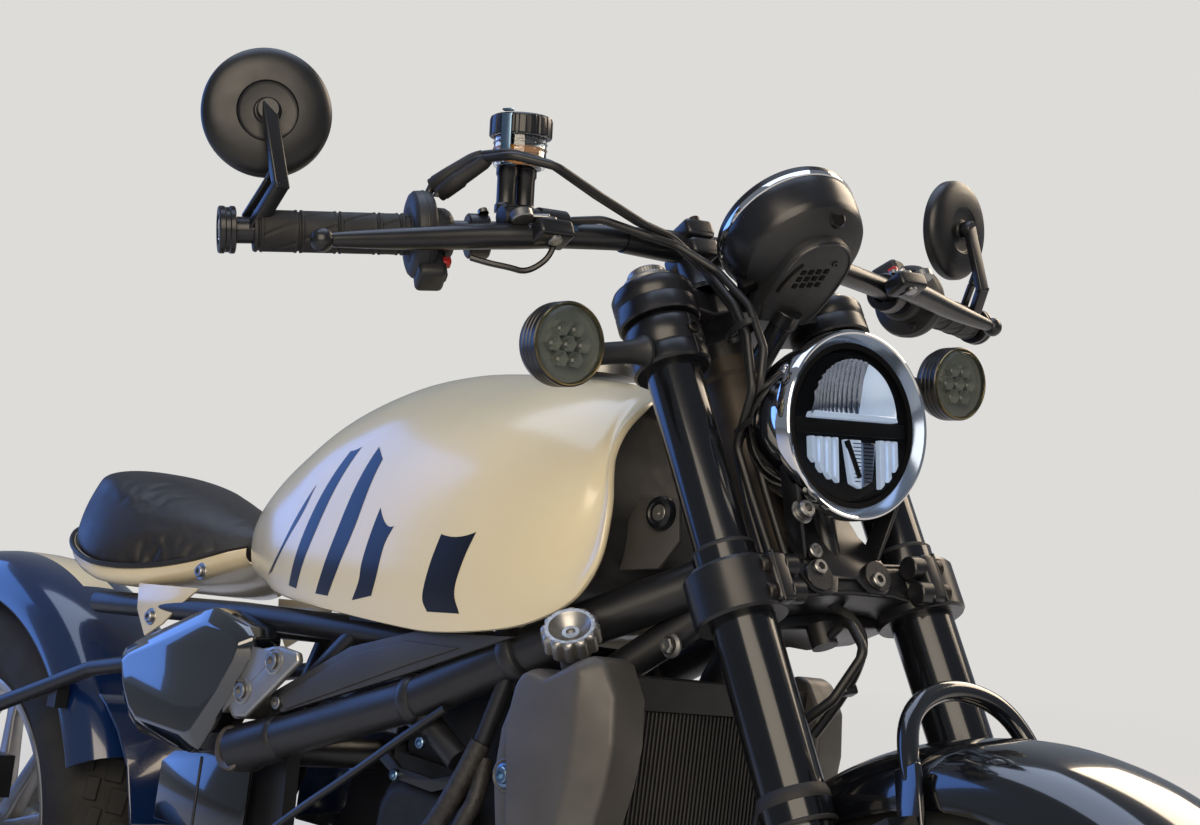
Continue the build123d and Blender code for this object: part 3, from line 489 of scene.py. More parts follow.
def polar(vert):
    return math.hypot(vert.co.x, vert.co.y), math.atan2(vert.co.y, vert.co.x)


def widened(vert, scale):
    vert.co.x *= scale
    vert.co.y *= scale


def socketBolt(radius, height):
    # a round head with a six-sided socket
    inner, floor = radius * 0.55, height * 0.4
    shape = turned([(0, floor), (inner, floor), (inner, height), (radius * 0.86, height), (radius, height * 0.82),
                    (radius, 0)], 24)
    for vert in shape.verts:
        reach, turn = polar(vert)
        if abs(reach - inner) < 0.05:
            widened(vert, math.cos(math.pi / 6) / math.cos(turn % (math.pi / 3) - math.pi / 6))
    return shape


# Fuel tank: one skin from tables along its length, a rolled lip round its edge, painted stripes
tankFacts = {
    "crest": [(-244, 727), (-228, 752), (-205, 784), (-172, 812), (-130, 840), (-60, 880), (20, 908), (85, 919),
              (140, 921), (225, 918), (280, 912), (318, 902), (345, 892), (370, 880)],
    "foot": [(-244, 716), (-205, 703), (-151, 693), (-106, 684), (-42, 676), (43, 672), (112, 669), (173, 668),
             (227, 670), (274, 672), (307, 674), (370, 680)],
    "half": [(-244, 30), (-205, 62), (-151, 88), (-106, 104), (-42, 121), (43, 134), (112, 141), (173, 145),
             (227, 146), (274, 142), (307, 136), (336, 128), (366, 117)],
    "rim": [(-244, 716), (-205, 703), (-151, 693), (-106, 682), (-42, 676), (43, 672), (112, 669), (173, 668),
            (227, 673), (274, 681), (307, 691), (336, 706), (353, 723), (363, 745), (366, 767), (364, 793),
            (357, 815), (349, 837), (343, 859), (337, 880), (328, 893), (322, 899)],
    "ridge": [(-243, 727), (-228, 752), (-205, 784), (-172, 812), (-130, 840), (-60, 880), (20, 908), (85, 919),
              (140, 921), (190, 920), (225, 918), (250, 916), (268, 914), (280, 912), (288, 910.5), (294, 909),
              (299, 908), (303, 907), (307, 906), (311, 905), (315, 903), (318, 902)],
    "columns": 110, "rows": 46,
    "flare": 7, "flareReach": 24, "valley": 3,
    "lip": [(2.4, 0.6), (3.4, 3.0), (2.4, 6.0), (-2.0, 8.5)],     # outwards and inwards, rolling under
    "stripeProud": 0.25,
    "stripes": [
        {"left": [(-126, 696), (-92.7, 723.5), (-55.4, 764), (-34.5, 789)],
         "right": [(-113, 700), (-74.3, 735.2), (-47.5, 762.2), (-33, 790)], "dip": 0},
        {"left": [(-67.5, 688.4), (-54, 716), (-31.5, 755), (10.4, 825.7)],
         "right": [(-49.3, 686.5), (-33, 716), (-9.3, 755), (29, 830.4)], "dip": 1},
        {"left": [(-9.2, 684.5), (7, 714), (30.1, 758), (60.5, 830.7)],
         "right": [(14.7, 683.9), (34, 714), (58.5, 758), (75.9, 818.4)], "dip": 0},
        {"left": [(58.6, 683.1), (70, 702), (74.5, 721.8), (93.9, 772.2)],
         "right": [(91.6, 690), (99, 708), (108.2, 737.8), (120.2, 756.3)], "dip": 7},
        {"left": [(177, 682.8), (170.5, 695.3), (178, 722), (190.8, 752.8)],
         "right": [(221.2, 685.1), (214.6, 703.4), (223, 730), (236, 757.6)], "dip": 3.5},
    ],
}


def tankSide(x, z):
    top, foot = along(tankFacts["crest"], x), along(tankFacts["foot"], x)
    rise = min(1.0, max(0.0, (z - foot) / (top - foot)))
    share = 1 - 0.07 * ((0.34 - rise) / 0.34) ** 2 if rise < 0.34 else math.sqrt(1 - ((rise - 0.34) / 0.66) ** 2.3)
    return along(tankFacts["half"], x) * share


def onLine(points, share):
    # the number along a line of points that a share of its length comes to
    lengths = [(Vector(b) - Vector(a)).length for a, b in zip(points, points[1:])]
    left = share * sum(lengths)
    for index, length in enumerate(lengths):
        if left <= length or index == len(lengths) - 1:
            return index + min(1.0, left / length)
        left -= length


def atNumber(points, number):
    # the place at a number along a rounded line of points
    return Vector([along([(k, p[axis]) for k, p in enumerate(points)], number) for axis in (0, 1)])


def smoothLine(points, share):
    return atNumber(points, onLine(points, share))


def makeTank(facts):
    rows, lip = facts["rows"], facts["lip"]
    allRows = rows + len(lip) + 2

    def skinSpot(share, up):
        row = round(up * allRows) - len(lip) - 2
        number = onLine(facts["rim"], share)
        rim, ridge = atNumber(facts["rim"], number), atNumber(facts["ridge"], number)
        out = (rim - ridge).normalized()
        atFront = min(1.0, max(0.0, (number - 9.0) / 3.0))
        t = max(0, row) / rows
        spot = rim + (ridge - rim) * math.sin(t * math.pi / 2)
        side = tankSide(*spot) if t < 1 else 0.0
        away = (spot - rim).length
        narrow = min(1.0, side / 40)
        side += atFront * narrow * facts["flare"] * max(0.0, 1 - away / facts["flareReach"]) ** 2
        side -= atFront * narrow * facts["valley"] * math.exp(-((away - 36) / 18) ** 2)
        if row < 0:
            outBy, inBy = lip[min(-row, len(lip)) - 1]
            spot = rim + out * outBy
            side = max(0.0, side - inBy)
            if -row > len(lip):
                back = Vector((-26, 0)) * atFront + Vector((0, 12)) * (1 - atFront)
                spot, side = rim + back, (max(0.0, side - 16) if -row == len(lip) + 1 else 0.0)
        return spot.x, side, spot.y
    shape = closed(twoSided(sheetOf(facts["columns"], allRows, skinSpot)), 0.02)
    for face in shape.faces:
        spot = face.calc_center_median()
        inside = spot.x > 240 and face.normal.x > 0.5 and (abs(spot.y) < tankSide(spot.x, spot.z) - 14)
        face.material_index = 1 if inside else 0
    makePiece("tank", shape, "chassis", "ivoryPaint mattBlackAbs", stands="fuel_tank",
              sharp=50)

    stripes = bmesh.new()
    for stripe in facts["stripes"]:
        def stripeSpot(across, up):
            left, right = smoothLine(stripe["left"], up), smoothLine(stripe["right"], up)
            x, z = left.lerp(right, across)
            z -= stripe["dip"] * 4 * across * (1 - across) * up ** 4
            return x, tankSide(x, z) + facts["stripeProud"], z
        sheet = faced(sheetOf(10, 40, stripeSpot))
        if next(iter(sheet.faces)).normal.y < 0:
            bmesh.ops.reverse_faces(sheet, faces=sheet.faces)
        add(stripes, sheet)
    makePiece("tankStripes", twoSided(stripes), "chassis", "stripePaint")


makeTank(tankFacts)
print("tank made")


# Headlight, drawn about its own axis: Z out of the glass, Y up, X to the machine's left
lampFacts = {
    "tilt": 4.6, "face": (91, 0, 586),
    "rim": [(66.8, -20), (69, -15.5), (76.5, -16), (78, -14), (78, -3), (77, -0.8), (75.6, 0), (74.2, -0.8)],
    "bevel": [(74.2, -0.8), (68.0, -6.6), (67.2, -8.6)],
    "darkRing": [(67.2, -7.4), (62.8, -8.2), (62.2, -24)],
    "bowl": [(0, -98), (16, -97), (34, -92), (50, -84), (62, -70), (69, -50), (71.8, -30), (71.8, -16), (66, -16)],
    "glass": [(0, -1.6), (30, -2.8), (50, -6), (63.2, -10.4), (63.2, -12), (50, -8), (30, -4.8), (0, -3.6)],
    "foot": ((10, 0, 484), (22, 0, 566), 11),
    "dishCentre": (4.5, 8), "dishReach": 47, "fluteWidth": 5.2,
    # lower half: each bar's middle and its lower end, then the two halves of the wedge
    "bars": [(-40, -32), (-31.6, -40), (-23.2, -45), (-14.8, -47.5), (36, -47), (44, -42), (51.6, -34)],
    "wedgeLit": [(-4, -11), (13.4, -11), (13.4, -51), (2.5, -47)],
    "wedgeDark": [(15.8, -12.5), (30.5, -13), (26, -45), (15.8, -50)],
}


def lookingPlace(centre, degrees):
    # Z looks ahead and up by an angle, X to the left
    turn = math.radians(degrees)
    look, left = Vector((math.cos(turn), 0, math.sin(turn))), Vector((0, 1, 0))
    return axes(centre, left, look.cross(left), look)


def halfDish(centre, reach, left, right, deep, edge, flute=0.0):
    # the upper half of a dish between two sides, with hollow flutes if wanted
    def dishSpot(across, up):
        x = left + (right - left) * across
        y = up * math.sqrt(max(0.04, reach ** 2 - x * x))
        z = deep + (edge - deep) * (x * x + y * y) / reach ** 2
        if flute:
            z += 3.0 * abs(math.sin(math.pi * (x - left + y * 0.12) / flute))
        return centre[0] + x, centre[1] + y, z
    shape = faced(sheetOf(96, 20, dishSpot))
    if sum(face.normal.z for face in shape.faces) < 0:
        bmesh.ops.reverse_faces(shape, faces=shape.faces)
    return shape


def makeHeadlight(facts):
    place = lookingPlace(facts["face"], facts["tilt"] - forkRake)
    shell = bmesh.new()
    for material, part in enumerate(("rim", "bevel", "darkRing")):
        add(shell, turned(facts[part], 96), place, material)
    # the bevel's blue-grey finish is a painted sky reflection on plated metal
    makePiece("headlightRim", shell, "steering", "chromePlate blueGreyBevel lampBlack",
              stands="headlight_rim", sharp=28)

    bowl = bmesh.new()
    add(bowl, turned(facts["bowl"], 80), place)
    for turn in (142, 38):                                     # the fixing screws in the bowl's edge
        spot = about("Z", math.radians(turn)) @ shift(71, 0, -26)
        add(bowl, socketBolt(4.2, 3.2), place @ spot @ about("Y", math.pi / 2))
    low, high, thick = facts["foot"]
    add(bowl, turned([(0, 0), (thick, 0), (thick, 80), (0, 80)], 32), aim(low, high), material=1)
    makePiece("headlightBucket", bowl, "steering", "chromePlate satinBlackPaint",
              stands="headlight_bucket", sharp=40)

    inside = bmesh.new()
    centre, reach = facts["dishCentre"], facts["dishReach"]
    add(inside, turned([(0, -30), (40, -28), (61, -22), (62, -9)], 64), place, material=2)
    add(inside, halfDish(centre, reach, -reach, 16, -26, -11, facts["fluteWidth"]), place)
    add(inside, halfDish(centre, reach, 16, reach, -24, -10), place, material=1)
    shelf = cutPlate([(-43, 5), (52, 5), (50, 10), (-41, 10)], 10, 1.2)
    add(inside, shelf, place @ shift(0, 0, -18), material=1)
    for x, foot in facts["bars"]:
        bar = cutPlate([(x - 2.1, -10), (x + 2.3, -10), (x + 2.9, foot), (x - 1.5, foot + (5 if x < 0 else -4))], 7,
                       1.2)
        add(inside, bar, place @ shift(0, 0, -18), material=1)
    add(inside, cutPlate(facts["wedgeLit"], 6, 1.0), place @ shift(0, 0, -18), material=1)
    add(inside, cutPlate(facts["wedgeDark"], 6, 1.0), place @ shift(0, 0, -19))
    for index in range(11):                                    # fine ribs across both halves
        y = -14 - index * 3.1
        for x, wide in ((8.2, 9.8 - index * 0.3), (22.2, 11.4 - index * 0.35)):
            rib = softBox((wide, 0.9, 1.2), 0.35, 1)
            add(inside, rib, place @ shift(x, y, -11.8 if x < 15 else -12.8), material=0 if x < 15 else 2)
    slash = beam((-3, -12, -12), (10.5, -42, -12), (1, 0, 0), 4.4, 3, 0.5)
    add(inside, slash, place, material=2)
    makePiece("headlightReflector", inside, "steering", "reflectorSilver litReflector lampBlack")

    band = bmesh.new()
    plate = cutPlate([(-60, -8), (-61, -2), (-60.6, 4), (60.6, 4), (61, -2), (60, -8)], 3, 0.8)
    add(band, plate, place @ shift(0, 0, -12.6))
    makePiece("headlightBand", band, "steering", "lampBlack")

    glass = bmesh.new()
    add(glass, turned(facts["glass"], 80), place)
    makePiece("headlightGlass", glass, "steering", "lampGlass", stands="headlight_lens")


makeHeadlight(lampFacts)
print("headlight made")


# Round instrument, drawn about its own axis: Z out of its face, X ahead
gaugeFacts = {
    "centre": (78, 0, 790), "lean": 17,
    "rim": [(51, -3.6), (54, -1.6), (56.4, -0.4), (59.6, 0), (62.0, -0.8), (63, -2.6), (63, -6.4), (62.4, -7.2)],
    "band": [(62.4, -7.0), (63.4, -7.6), (63.6, -9.6), (63.4, -12.2), (62.2, -12.8)],
    "wall": [(62.2, -12.6), (62.4, -13.6), (61.8, -20), (60, -29), (57.6, -38), (56.4, -41.4), (54, -44.6)],
    "dome": [(54, -44.6), (51, -47.4), (44, -52.6), (34, -57.4), (22, -61), (0, -62.4)],
    # the raised shield on the underside, round in front and open behind
    "shield": [(math.cos(math.radians(t)) * 34, math.sin(math.radians(t)) * 34) for t in range(-90, 91, 10)]
              + [(-40, 33), (-58, 26), (-58, -26), (-40, -33)],
    "stemFoot": (18, 0, 700), "face": -66, "ventSize": 5.2, "ventPitch": 7.4,
    "collar": [(0, 0), (12.5, 0), (13, 0.6), (13, 13), (12.4, 13.6), (10, 14), (10, 60), (0, 60)],
}


def makeGauge(facts):
    lean = math.radians(facts["lean"])
    up = Vector((-math.sin(lean), 0, math.cos(lean)))
    place = leaning(facts["centre"], up)
    rim = bmesh.new()
    add(rim, turned(facts["rim"], 96), place)
    add(rim, turned(facts["band"], 96), place, material=1)
    makePiece("gaugeRim", rim, "steering", "satinBlackPaint chromePlate", stands="gauge_rim",
              sharp=26)

    face = bmesh.new()
    add(face, turned([(51.2, -3.4), (30, -2.6), (0, -2.2), (0, -3.8), (30, -4.2), (51.2, -5)], 64), place)
    makePiece("gaugeGlass", face, "steering", "smokedPolycarbonate")
    dial = bmesh.new()
    add(dial, turned([(0, -6.6), (54, -6.6), (54, -5.6), (0, -5.4)], 64), place)
    for index in range(41):
        turn = math.radians(-40 + 260 * index / 40)
        long = 7 if index % 5 == 0 else 4
        mark = softBox((long, 1.0, 0.3), 0.1, 1)
        add(dial, mark, place @ about("Z", turn) @ shift(46 - long / 2, 0, -5.4), material=1)
    screen = softBox((26, 40, 0.6), 0.25, 1)
    add(dial, screen, place @ shift(-14, 0, -5.4), material=2)
    makePiece("gaugeDial", dial, "steering", "mattBlackAbs whitePlastic greyPanelAbs")

    bowl = bmesh.new()
    add(bowl, turned(facts["wall"], 96), place)
    add(bowl, turned(facts["dome"], 96), place, material=1)
    shield = cutPlate(facts["shield"], 24, 2.4, 3)
    add(bowl, shield, place @ shift(0, 0, facts["face"]), material=1)
    ridge = bentRod([(x * 0.93, y * 0.93, facts["face"] + 0.4) for x, y in facts["shield"][:-2]], 1.5, sides=8)
    add(bowl, ridge, place)
    # the groove, vent holes, the eye's hole and the notch are near-black lampBlack patches: painted shade standing
    # for the dark inside of recesses and holes
    groove = bentRod([(-24, -27.5, facts["face"]), (-6, -27, facts["face"]), (7, -19, facts["face"])], 1.8, sides=8)
    add(bowl, groove, place, material=2)
    for row in range(3):
        for column in range(4):
            x, y = ((row - 1) * facts["ventPitch"] + column * 1.6 - 9, (column - 1.5) * facts["ventPitch"] - 2)
            hole = softBox((facts["ventSize"], facts["ventSize"], 1.6), 0.75, 3)
            add(bowl, hole, place @ shift(x, y, facts["face"] - 0.1), material=2)
    add(bowl, socketBolt(2.8, 1.6), place @ shift(12, 13, facts["face"]) @ about("X", math.pi))
    eye = turned([(6.6, 0), (7.8, 1.2), (8.4, 0), (8.4, -5)], 32)
    eyePlace = place @ shift(47.5, 1, -50.4) @ about("Y", math.radians(125))
    add(bowl, eye, eyePlace)
    add(bowl, turned([(0, 0.5), (6.6, 0.5)], 32), eyePlace, material=2)
    notch = softBox((15, 12, 14), 2.6, 3)
    add(bowl, notch, place @ shift(-37, -40, -44) @ about("Z", math.radians(52)), material=2)
    foot = place @ Vector((-44, 0, facts["face"] + 2))
    add(bowl, turned(facts["collar"], 40), aim(foot, facts["stemFoot"]))
    makePiece("gaugeBowl", bowl, "steering", "satinBlackPaint mattBlackAbs lampBlack",
              stands="gauge_pod", sharp=30)


makeGauge(gaugeFacts)
print("gauge made")


# Front indicators, each drawn about its own axis: Z ahead, Y up
indicatorFacts = {
    "centre": (18, 219, 682), "stalkFoot": (8, 128, 690),
    "body": [(0, -26), (12, -26), (20, -24.6), (27, -21), (31.4, -16), (33.6, -10), (33.9, -8), (33, -7.4),
             (33, -6.4), (34, -5.8), (34, -3), (33, -2.4), (33, -1.4), (34, -0.8), (34, 2), (33, 2.6), (33, 3.6),
             (34, 4.2), (34, 8.4), (33, 9.4)],
    "ring": [(33, 9.2), (32.6, 10.2), (31.6, 10.4), (31.0, 9.6), (30.8, 6)],
    "lens": [(30.6, 7), (30.5, 11.0), (28.6, 13.8), (22, 15.6), (10, 16.2), (0, 16.2), (0, 14.6), (10, 14.6),
             (22, 14), (27.4, 12.4), (29, 10.4), (29.2, 7)],
    "seat": [(30.6, 6), (29, 2), (0, 2)],
    "flutes": 56,
}


def makeIndicators(facts):
    x, y, z = facts["centre"]
    bodies, lenses, cells = newShapes(3)
    for side in (-1, 1):
        place = lookingPlace((x, side * y, z), -forkRake)
        for material, (part, steps) in enumerate((("body", 64), ("ring", 64), ("seat", 48))):
            add(bodies, turned(facts[part], steps), place, material)
        lens = turned(facts["lens"], facts["flutes"] * 4)
        for vert in lens.verts:                                # fine flutes round the lens's edge
            reach, turn = polar(vert)
            if reach > 28 and vert.co.z > 10.6:
                vert.co.z -= 0.5 * (0.5 + 0.5 * math.cos(turn * facts["flutes"]))
        add(lenses, lens, place)
        ring = [math.tau * k / 6 for k in range(6)]
        for cx, cy in [(0, 0)] + [(math.cos(turn) * 14, math.sin(turn) * 14) for turn in ring]:
            dish = turned([(2.2, 3.0), (4.2, 4.6), (6.4, 8.6), (6.9, 8.8), (6.9, 2.4)], 6)
            add(cells, dish, place @ shift(cx, cy, 0))
            light = softBox((3.0, 3.0, 1.2), 0.5, 2)
            add(cells, light, place @ shift(cx, cy, 3.2), material=1)
        foot = mirrored(side) @ Vector(facts["stalkFoot"])         # a rubber cone into the fork clamp
        end = Vector((x - 18, side * (y - 22), z + 2))
        stalk = turned([(0, 0), (13, 0), (13.6, 3), (11, 8), (9.4, 22), (9.0, 60), (10.5, 64), (10.5, 70), (0, 70)],
                       36)
        add(bodies, stalk, aim(foot, end), material=3)
    makePiece("indicatorBodies", bodies, "steering", "satinBlackPaint brassTintPlate lampSilverPlastic mattBlackAbs",
              stands="front_indicators", sharp=26)
    makePiece("indicatorLenses", lenses, "steering", "greenSmoke")
    makePiece("indicatorCells", cells, "steering", "lampSilverPlastic whitePlastic")


makeIndicators(indicatorFacts)
print("indicators made")


# Seat: a puffy cover with a piped edge over a painted pan
seatFacts = {
    "middle": [(-548, 752), (-541, 779), (-520, 794), (-490, 799), (-455, 797), (-403, 788), (-335, 771),
               (-280, 752), (-248, 740)],
    "shoulder": [(-548, 744), (-535, 766), (-510, 776), (-470, 768), (-430, 754), (-390, 741), (-340, 732),
                 (-290, 727), (-248, 724)],
    "foot": [(-548, 716), (-520, 702), (-480, 686), (-420, 672), (-360, 673), (-300, 687), (-248, 711)],
    "half": [(-548, 20), (-541, 52), (-528, 78), (-505, 98), (-475, 112), (-435, 119), (-395, 114), (-345, 96),
             (-300, 75), (-265, 52), (-248, 34)],
    "start": -548, "stop": -248,
    "pressure": 4.0, "shrink": 0.97, "cap": 0.006, "voxel": 0.005, "frames": 20, "quality": 5,
    "pipingRadius": 3.0, "band": 13,
}


def seatSection(x, turn, facts):
    # a place on the cover: turn 0 is the middle of the top, 1 the middle of the underside
    half = along(facts["half"], x)
    top, edge, foot = (along(facts[key], x) for key in ("middle", "shoulder", "foot"))
    if turn < 0.45:                                   # over the top to the shoulder
        t = turn / 0.45
        y = 0.80 * half * math.sin(t * math.pi / 2) ** 0.9
        z = top + (edge - top) * (1 - math.cos(t * math.pi / 2)) ** 1.15
    elif turn < 0.75:                                 # down the side to the piping
        t = (turn - 0.45) / 0.3
        y = half * (0.80 + 0.20 * math.sin(t * math.pi / 2))
        z = edge + (foot + facts["band"] - edge) * t ** 1.1
    elif turn < 0.86:                                 # the black band under the piping
        t = (turn - 0.75) / 0.11
        y = half * (1.0 - 0.06 * t)
        z = foot + facts["band"] * (1 - t)
    else:
        t = (turn - 0.86) / 0.14
        y = half * 0.94 * (1 - t)
        z = foot
    return Vector((x, y, z))


def easedBetween(start, stop, share):
    # closer steps at both ends
    return start + (stop - start) * (0.5 - 0.5 * math.cos(share * math.pi))


def makeSeat(facts):
    start, stop = facts["start"], facts["stop"]
    cover = sheetOf(64, 56, lambda share, turn: seatSection(easedBetween(start, stop, share), turn, facts))
    shape = closed(twoSided(cover), 0.3)
    piece = makePiece("seatCover", shape, "chassis", "seatLeather", stands="seat_cushion",
                      sharp=180)
    puffUp(piece, facts)

    piping = bmesh.new()
    steps = [easedBetween(start + 1, stop, index / 60) for index in range(61)]
    spots = [seatSection(x, 0.75, facts) + Vector((0, 1.2, 0)) for x in steps]
    line = [tuple(p) for p in spots[::-1]] + [(p.x, -p.y, p.z) for p in spots]
    add(piping, bentRod(line, facts["pipingRadius"], sides=12))
    makePiece("seatPiping", piping, "chassis", "seatLeather")


def keepModified(piece):
    # what the modifiers make becomes the piece's own mesh
    graph = bpy.context.evaluated_depsgraph_get()
    old, piece.data = piece.data, bpy.data.meshes.new_from_object(piece.evaluated_get(graph))
    piece.modifiers.clear()
    bpy.data.meshes.remove(old)
    return piece.data


def puffUp(piece, facts):
    # a cloth under pressure fills the cover, then its result is kept
    rest = [v.co.copy() for v in piece.data.vertices]
    centre = sum(rest, Vector()) / len(rest)
    remesh = piece.modifiers.new("remesh", "REMESH")
    remesh.mode, remesh.voxel_size = "VOXEL", facts["voxel"]
    mesh = keepModified(piece)
    for vert in mesh.vertices:
        vert.co = centre + (vert.co - centre) * facts["shrink"]
    start = [v.co.copy() for v in mesh.vertices]
    cloth = piece.modifiers.new("cloth", "CLOTH")
    cloth.settings.use_pressure = True
    cloth.settings.uniform_pressure_force = facts["pressure"]
    cloth.settings.effector_weights.gravity = 0
    cloth.settings.quality = facts["quality"]
    cloth.point_cache.frame_start, cloth.point_cache.frame_end = 1, facts["frames"]
    for number in range(1, facts["frames"] + 1):
        scene.frame_set(number)
    puffed = keepModified(piece)
    for vert, before in zip(puffed.vertices, start):
        step = vert.co - before
        if step.length > facts["cap"]:
            vert.co = before + step.normalized() * facts["cap"]
    puffed.materials.clear()
    puffed.materials.append(finishes["seatLeather"])
    smooth = piece.modifiers.new("smooth", "SUBSURF")
    smooth.levels = smooth.render_levels = 1
    smoothFaces(puffed)
    scene.frame_set(1)


makeSeat(seatFacts)
print("seat made")


# Seat pan: a pressed rim under the cover, its brackets and screws
panFacts = {
    # out and up from the cover's lower edge, rolling under it
    "profile": [(4.2, 15), (5.2, 13.5), (5.4, 8), (4.6, 2), (1.0, -4), (-8, -8), (-24, -8.6)],
    "bracket": [(-352, 668), (-236, 672), (-262, 655), (-296, 628), (-326, 612), (-348, 640)],
    "bracketSide": 96, "bracketThick": 3,
    "screws": [(-318, 634), (-236, 690)],
}


def makePan(facts):
    shape = bmesh.new()
    cover, profile = seatFacts, facts["profile"]
    last = len(profile) - 1
    for side in (-1, 1):
        def rimSpot(share, across):
            x = easedBetween(cover["start"] - 3, cover["stop"], share)
            half, foot = along(cover["half"], x), along(cover["foot"], x)
            slot = min(int(across * last), last - 1)
            out, up = Vector(profile[slot]).lerp(Vector(profile[slot + 1]), across * last - slot)
            if across > 0.999:                                  # the last row meets in the middle
                out, up = -half, profile[last][1]
            return x, side * max(0.0, half * 0.94 + out), foot + up
        add(shape, faced(sheetOf(60, 10, rimSpot)))
    merged(shape, 0.05)
    bmesh.ops.solidify(shape, geom=shape.faces[:], thickness=1.6)
    faced(shape)
    for side in (-1, 1):
        plate = cutPlate(facts["bracket"], facts["bracketThick"], 0.8)
        add(shape, plate, axes((0, side * facts["bracketSide"], 0), (1, 0, 0), (0, 0, 1), (0, -1, 0)))
    makePiece("seatPan", shape, "chassis", "ivorySteel", stands="seat_pan", sharp=40)
    screws = bmesh.new()
    for side in (-1, 1):
        for x, z in facts["screws"]:
            place = outward(side, x, side * (facts["bracketSide"] + (3 if side < 0 else 0)), z)
            add(screws, turned([(0, 1), (9, 1), (9.4, 0.4), (9.4, 0)], 28), place)
            add(screws, socketBolt(6.2, 5.2), place)
    makePiece("seatScrews", screws, "chassis", "brushedSteel")


makePan(panFacts)
print("seat pan made")


# Bodywork behind the engine: moulded covers, cast corner plates, panels under the tank
sideFacts = {
    "coverRim": [(-300, 590), (-292, 602), (-268, 613), (-165, 652), (-144, 657), (-82, 644), (-70, 634), (-71, 612),
                 (-96, 570), (-136, 514), (-150, 509), (-171, 510), (-245, 517), (-268, 530), (-290, 556)],
    "coverFace": [(-280, 587), (-268, 594), (-220, 611), (-150, 638), (-136, 640), (-88, 632), (-80, 625),
                  (-84, 608), (-104, 574), (-137, 532), (-146, 528), (-160, 528), (-238, 532), (-254, 542),
                  (-270, 562)],
    "coverInner": 105.8, "coverOuter": 140, "facePlane": 152,
    "plate": [(-96, 562), (-92, 590), (-78, 612), (-56, 625), (-30, 630), (0, 627), (4, 618), (-68, 556), (-86, 553)],
    "plateSide": 131, "plateThick": 8.5,
    "plateBolts": [(-34, 615), (-78, 581)],
    "panel": [(-52, 582), (60, 640), (150, 664), (278, 672), (150, 626), (-30, 566)],
    "panelRaised": [(-38, 580), (62, 632), (140, 654), (212, 655), (140, 630), (-22, 570)],
    "panelSide": 118, "panelThick": 7,
    "panelBolt": (-36, 575),
}


def makeSides(facts):
    covers, plates, bolts, panels = newShapes(4)
    lift = facts["coverOuter"] - facts["coverInner"]
    for side in (-1, 1):
        place = sideways(side, facts["coverInner"])
        cover = liftedFace(facts["coverRim"], facts["coverFace"], lift, facts["facePlane"] - facts["coverOuter"])
        add(covers, softened(cover, 2.4), place)

        plate = cutPlate(facts["plate"], facts["plateThick"])
        add(plates, softened(plate, 3.2, 4, 40), sideways(side, facts["plateSide"]))
        for x, z in facts["plateBolts"]:
            dish = turned([(13.6, 0), (13.6, 1.0), (11.4, 1.6), (10.6, 0.6), (10.4, -2)], 40)
            spot = sideways(side, facts["plateSide"] + facts["plateThick"], x, z)
            add(plates, dish, spot)
            add(bolts, socketBolt(8.4, 4.4), spot)

        panel = cutPlate(facts["panel"], facts["panelThick"])
        add(panels, softened(panel, 1.4, 2, 40), sideways(side, facts["panelSide"]))
        raised = cutPlate(facts["panelRaised"], 3.2)
        add(panels, softened(raised, 1.3, 3, 20), sideways(side, facts["panelSide"] + facts["panelThick"] - 1))
        add(bolts, socketBolt(6.5, 3.6),
            sideways(side, facts["panelSide"] + facts["panelThick"] + 1, *facts["panelBolt"]))
    makePiece("sideCovers", covers, "chassis", "mirrorBlackEnamel", stands="side_covers",
              sharp=24)
    makePiece("cornerPlates", plates, "chassis", "castSilverAluminium", sharp=30)
    makePiece("cornerBolts", bolts, "chassis", "brushedSteel")
    makePiece("underTankPanels", panels, "chassis", "greyPanelAbs", stands="tank_side_panels", sharp=30)


makeSides(sideFacts)
print("side bodywork made")


# Radiator, its shrouds and its big scalloped cap
radiatorFacts = {
    "coreFace": 410, "coreWidth": (-112, 112), "coreHeight": (470, 628),
    "finPitch": 5.0, "finDepth": 2.4,
    "outerOutline": [(342, 641), (349, 652), (357, 655), (376, 651), (404, 667), (418, 672), (430, 668), (446, 642),
                     (450, 604), (446, 570), (434, 520), (405, 454), (368, 454), (352, 505), (344, 560), (335, 604)],
    "outerFace": [(346, 638), (352, 648), (360, 650), (378, 646), (402, 658), (414, 661), (418, 655), (417, 634),
                  (419, 604), (418, 570), (411, 520), (388, 458), (371, 458), (357, 507), (349, 562), (340, 605)],
    "innerOutline": [(318, 600), (332, 640), (341, 641), (334, 604), (343, 560), (351, 505), (367, 454), (352, 454),
                     (330, 500), (316, 560)],
    "side": 116.3, "thick": 38, "rise": 14, "shroudShift": (-15, -4), "boltPlace": (316, 559),
    "capPlace": (344, -107, 645), "capLean": (0.3, -0.62, 0.72), "capRadius": 25, "scallops": 12,
}


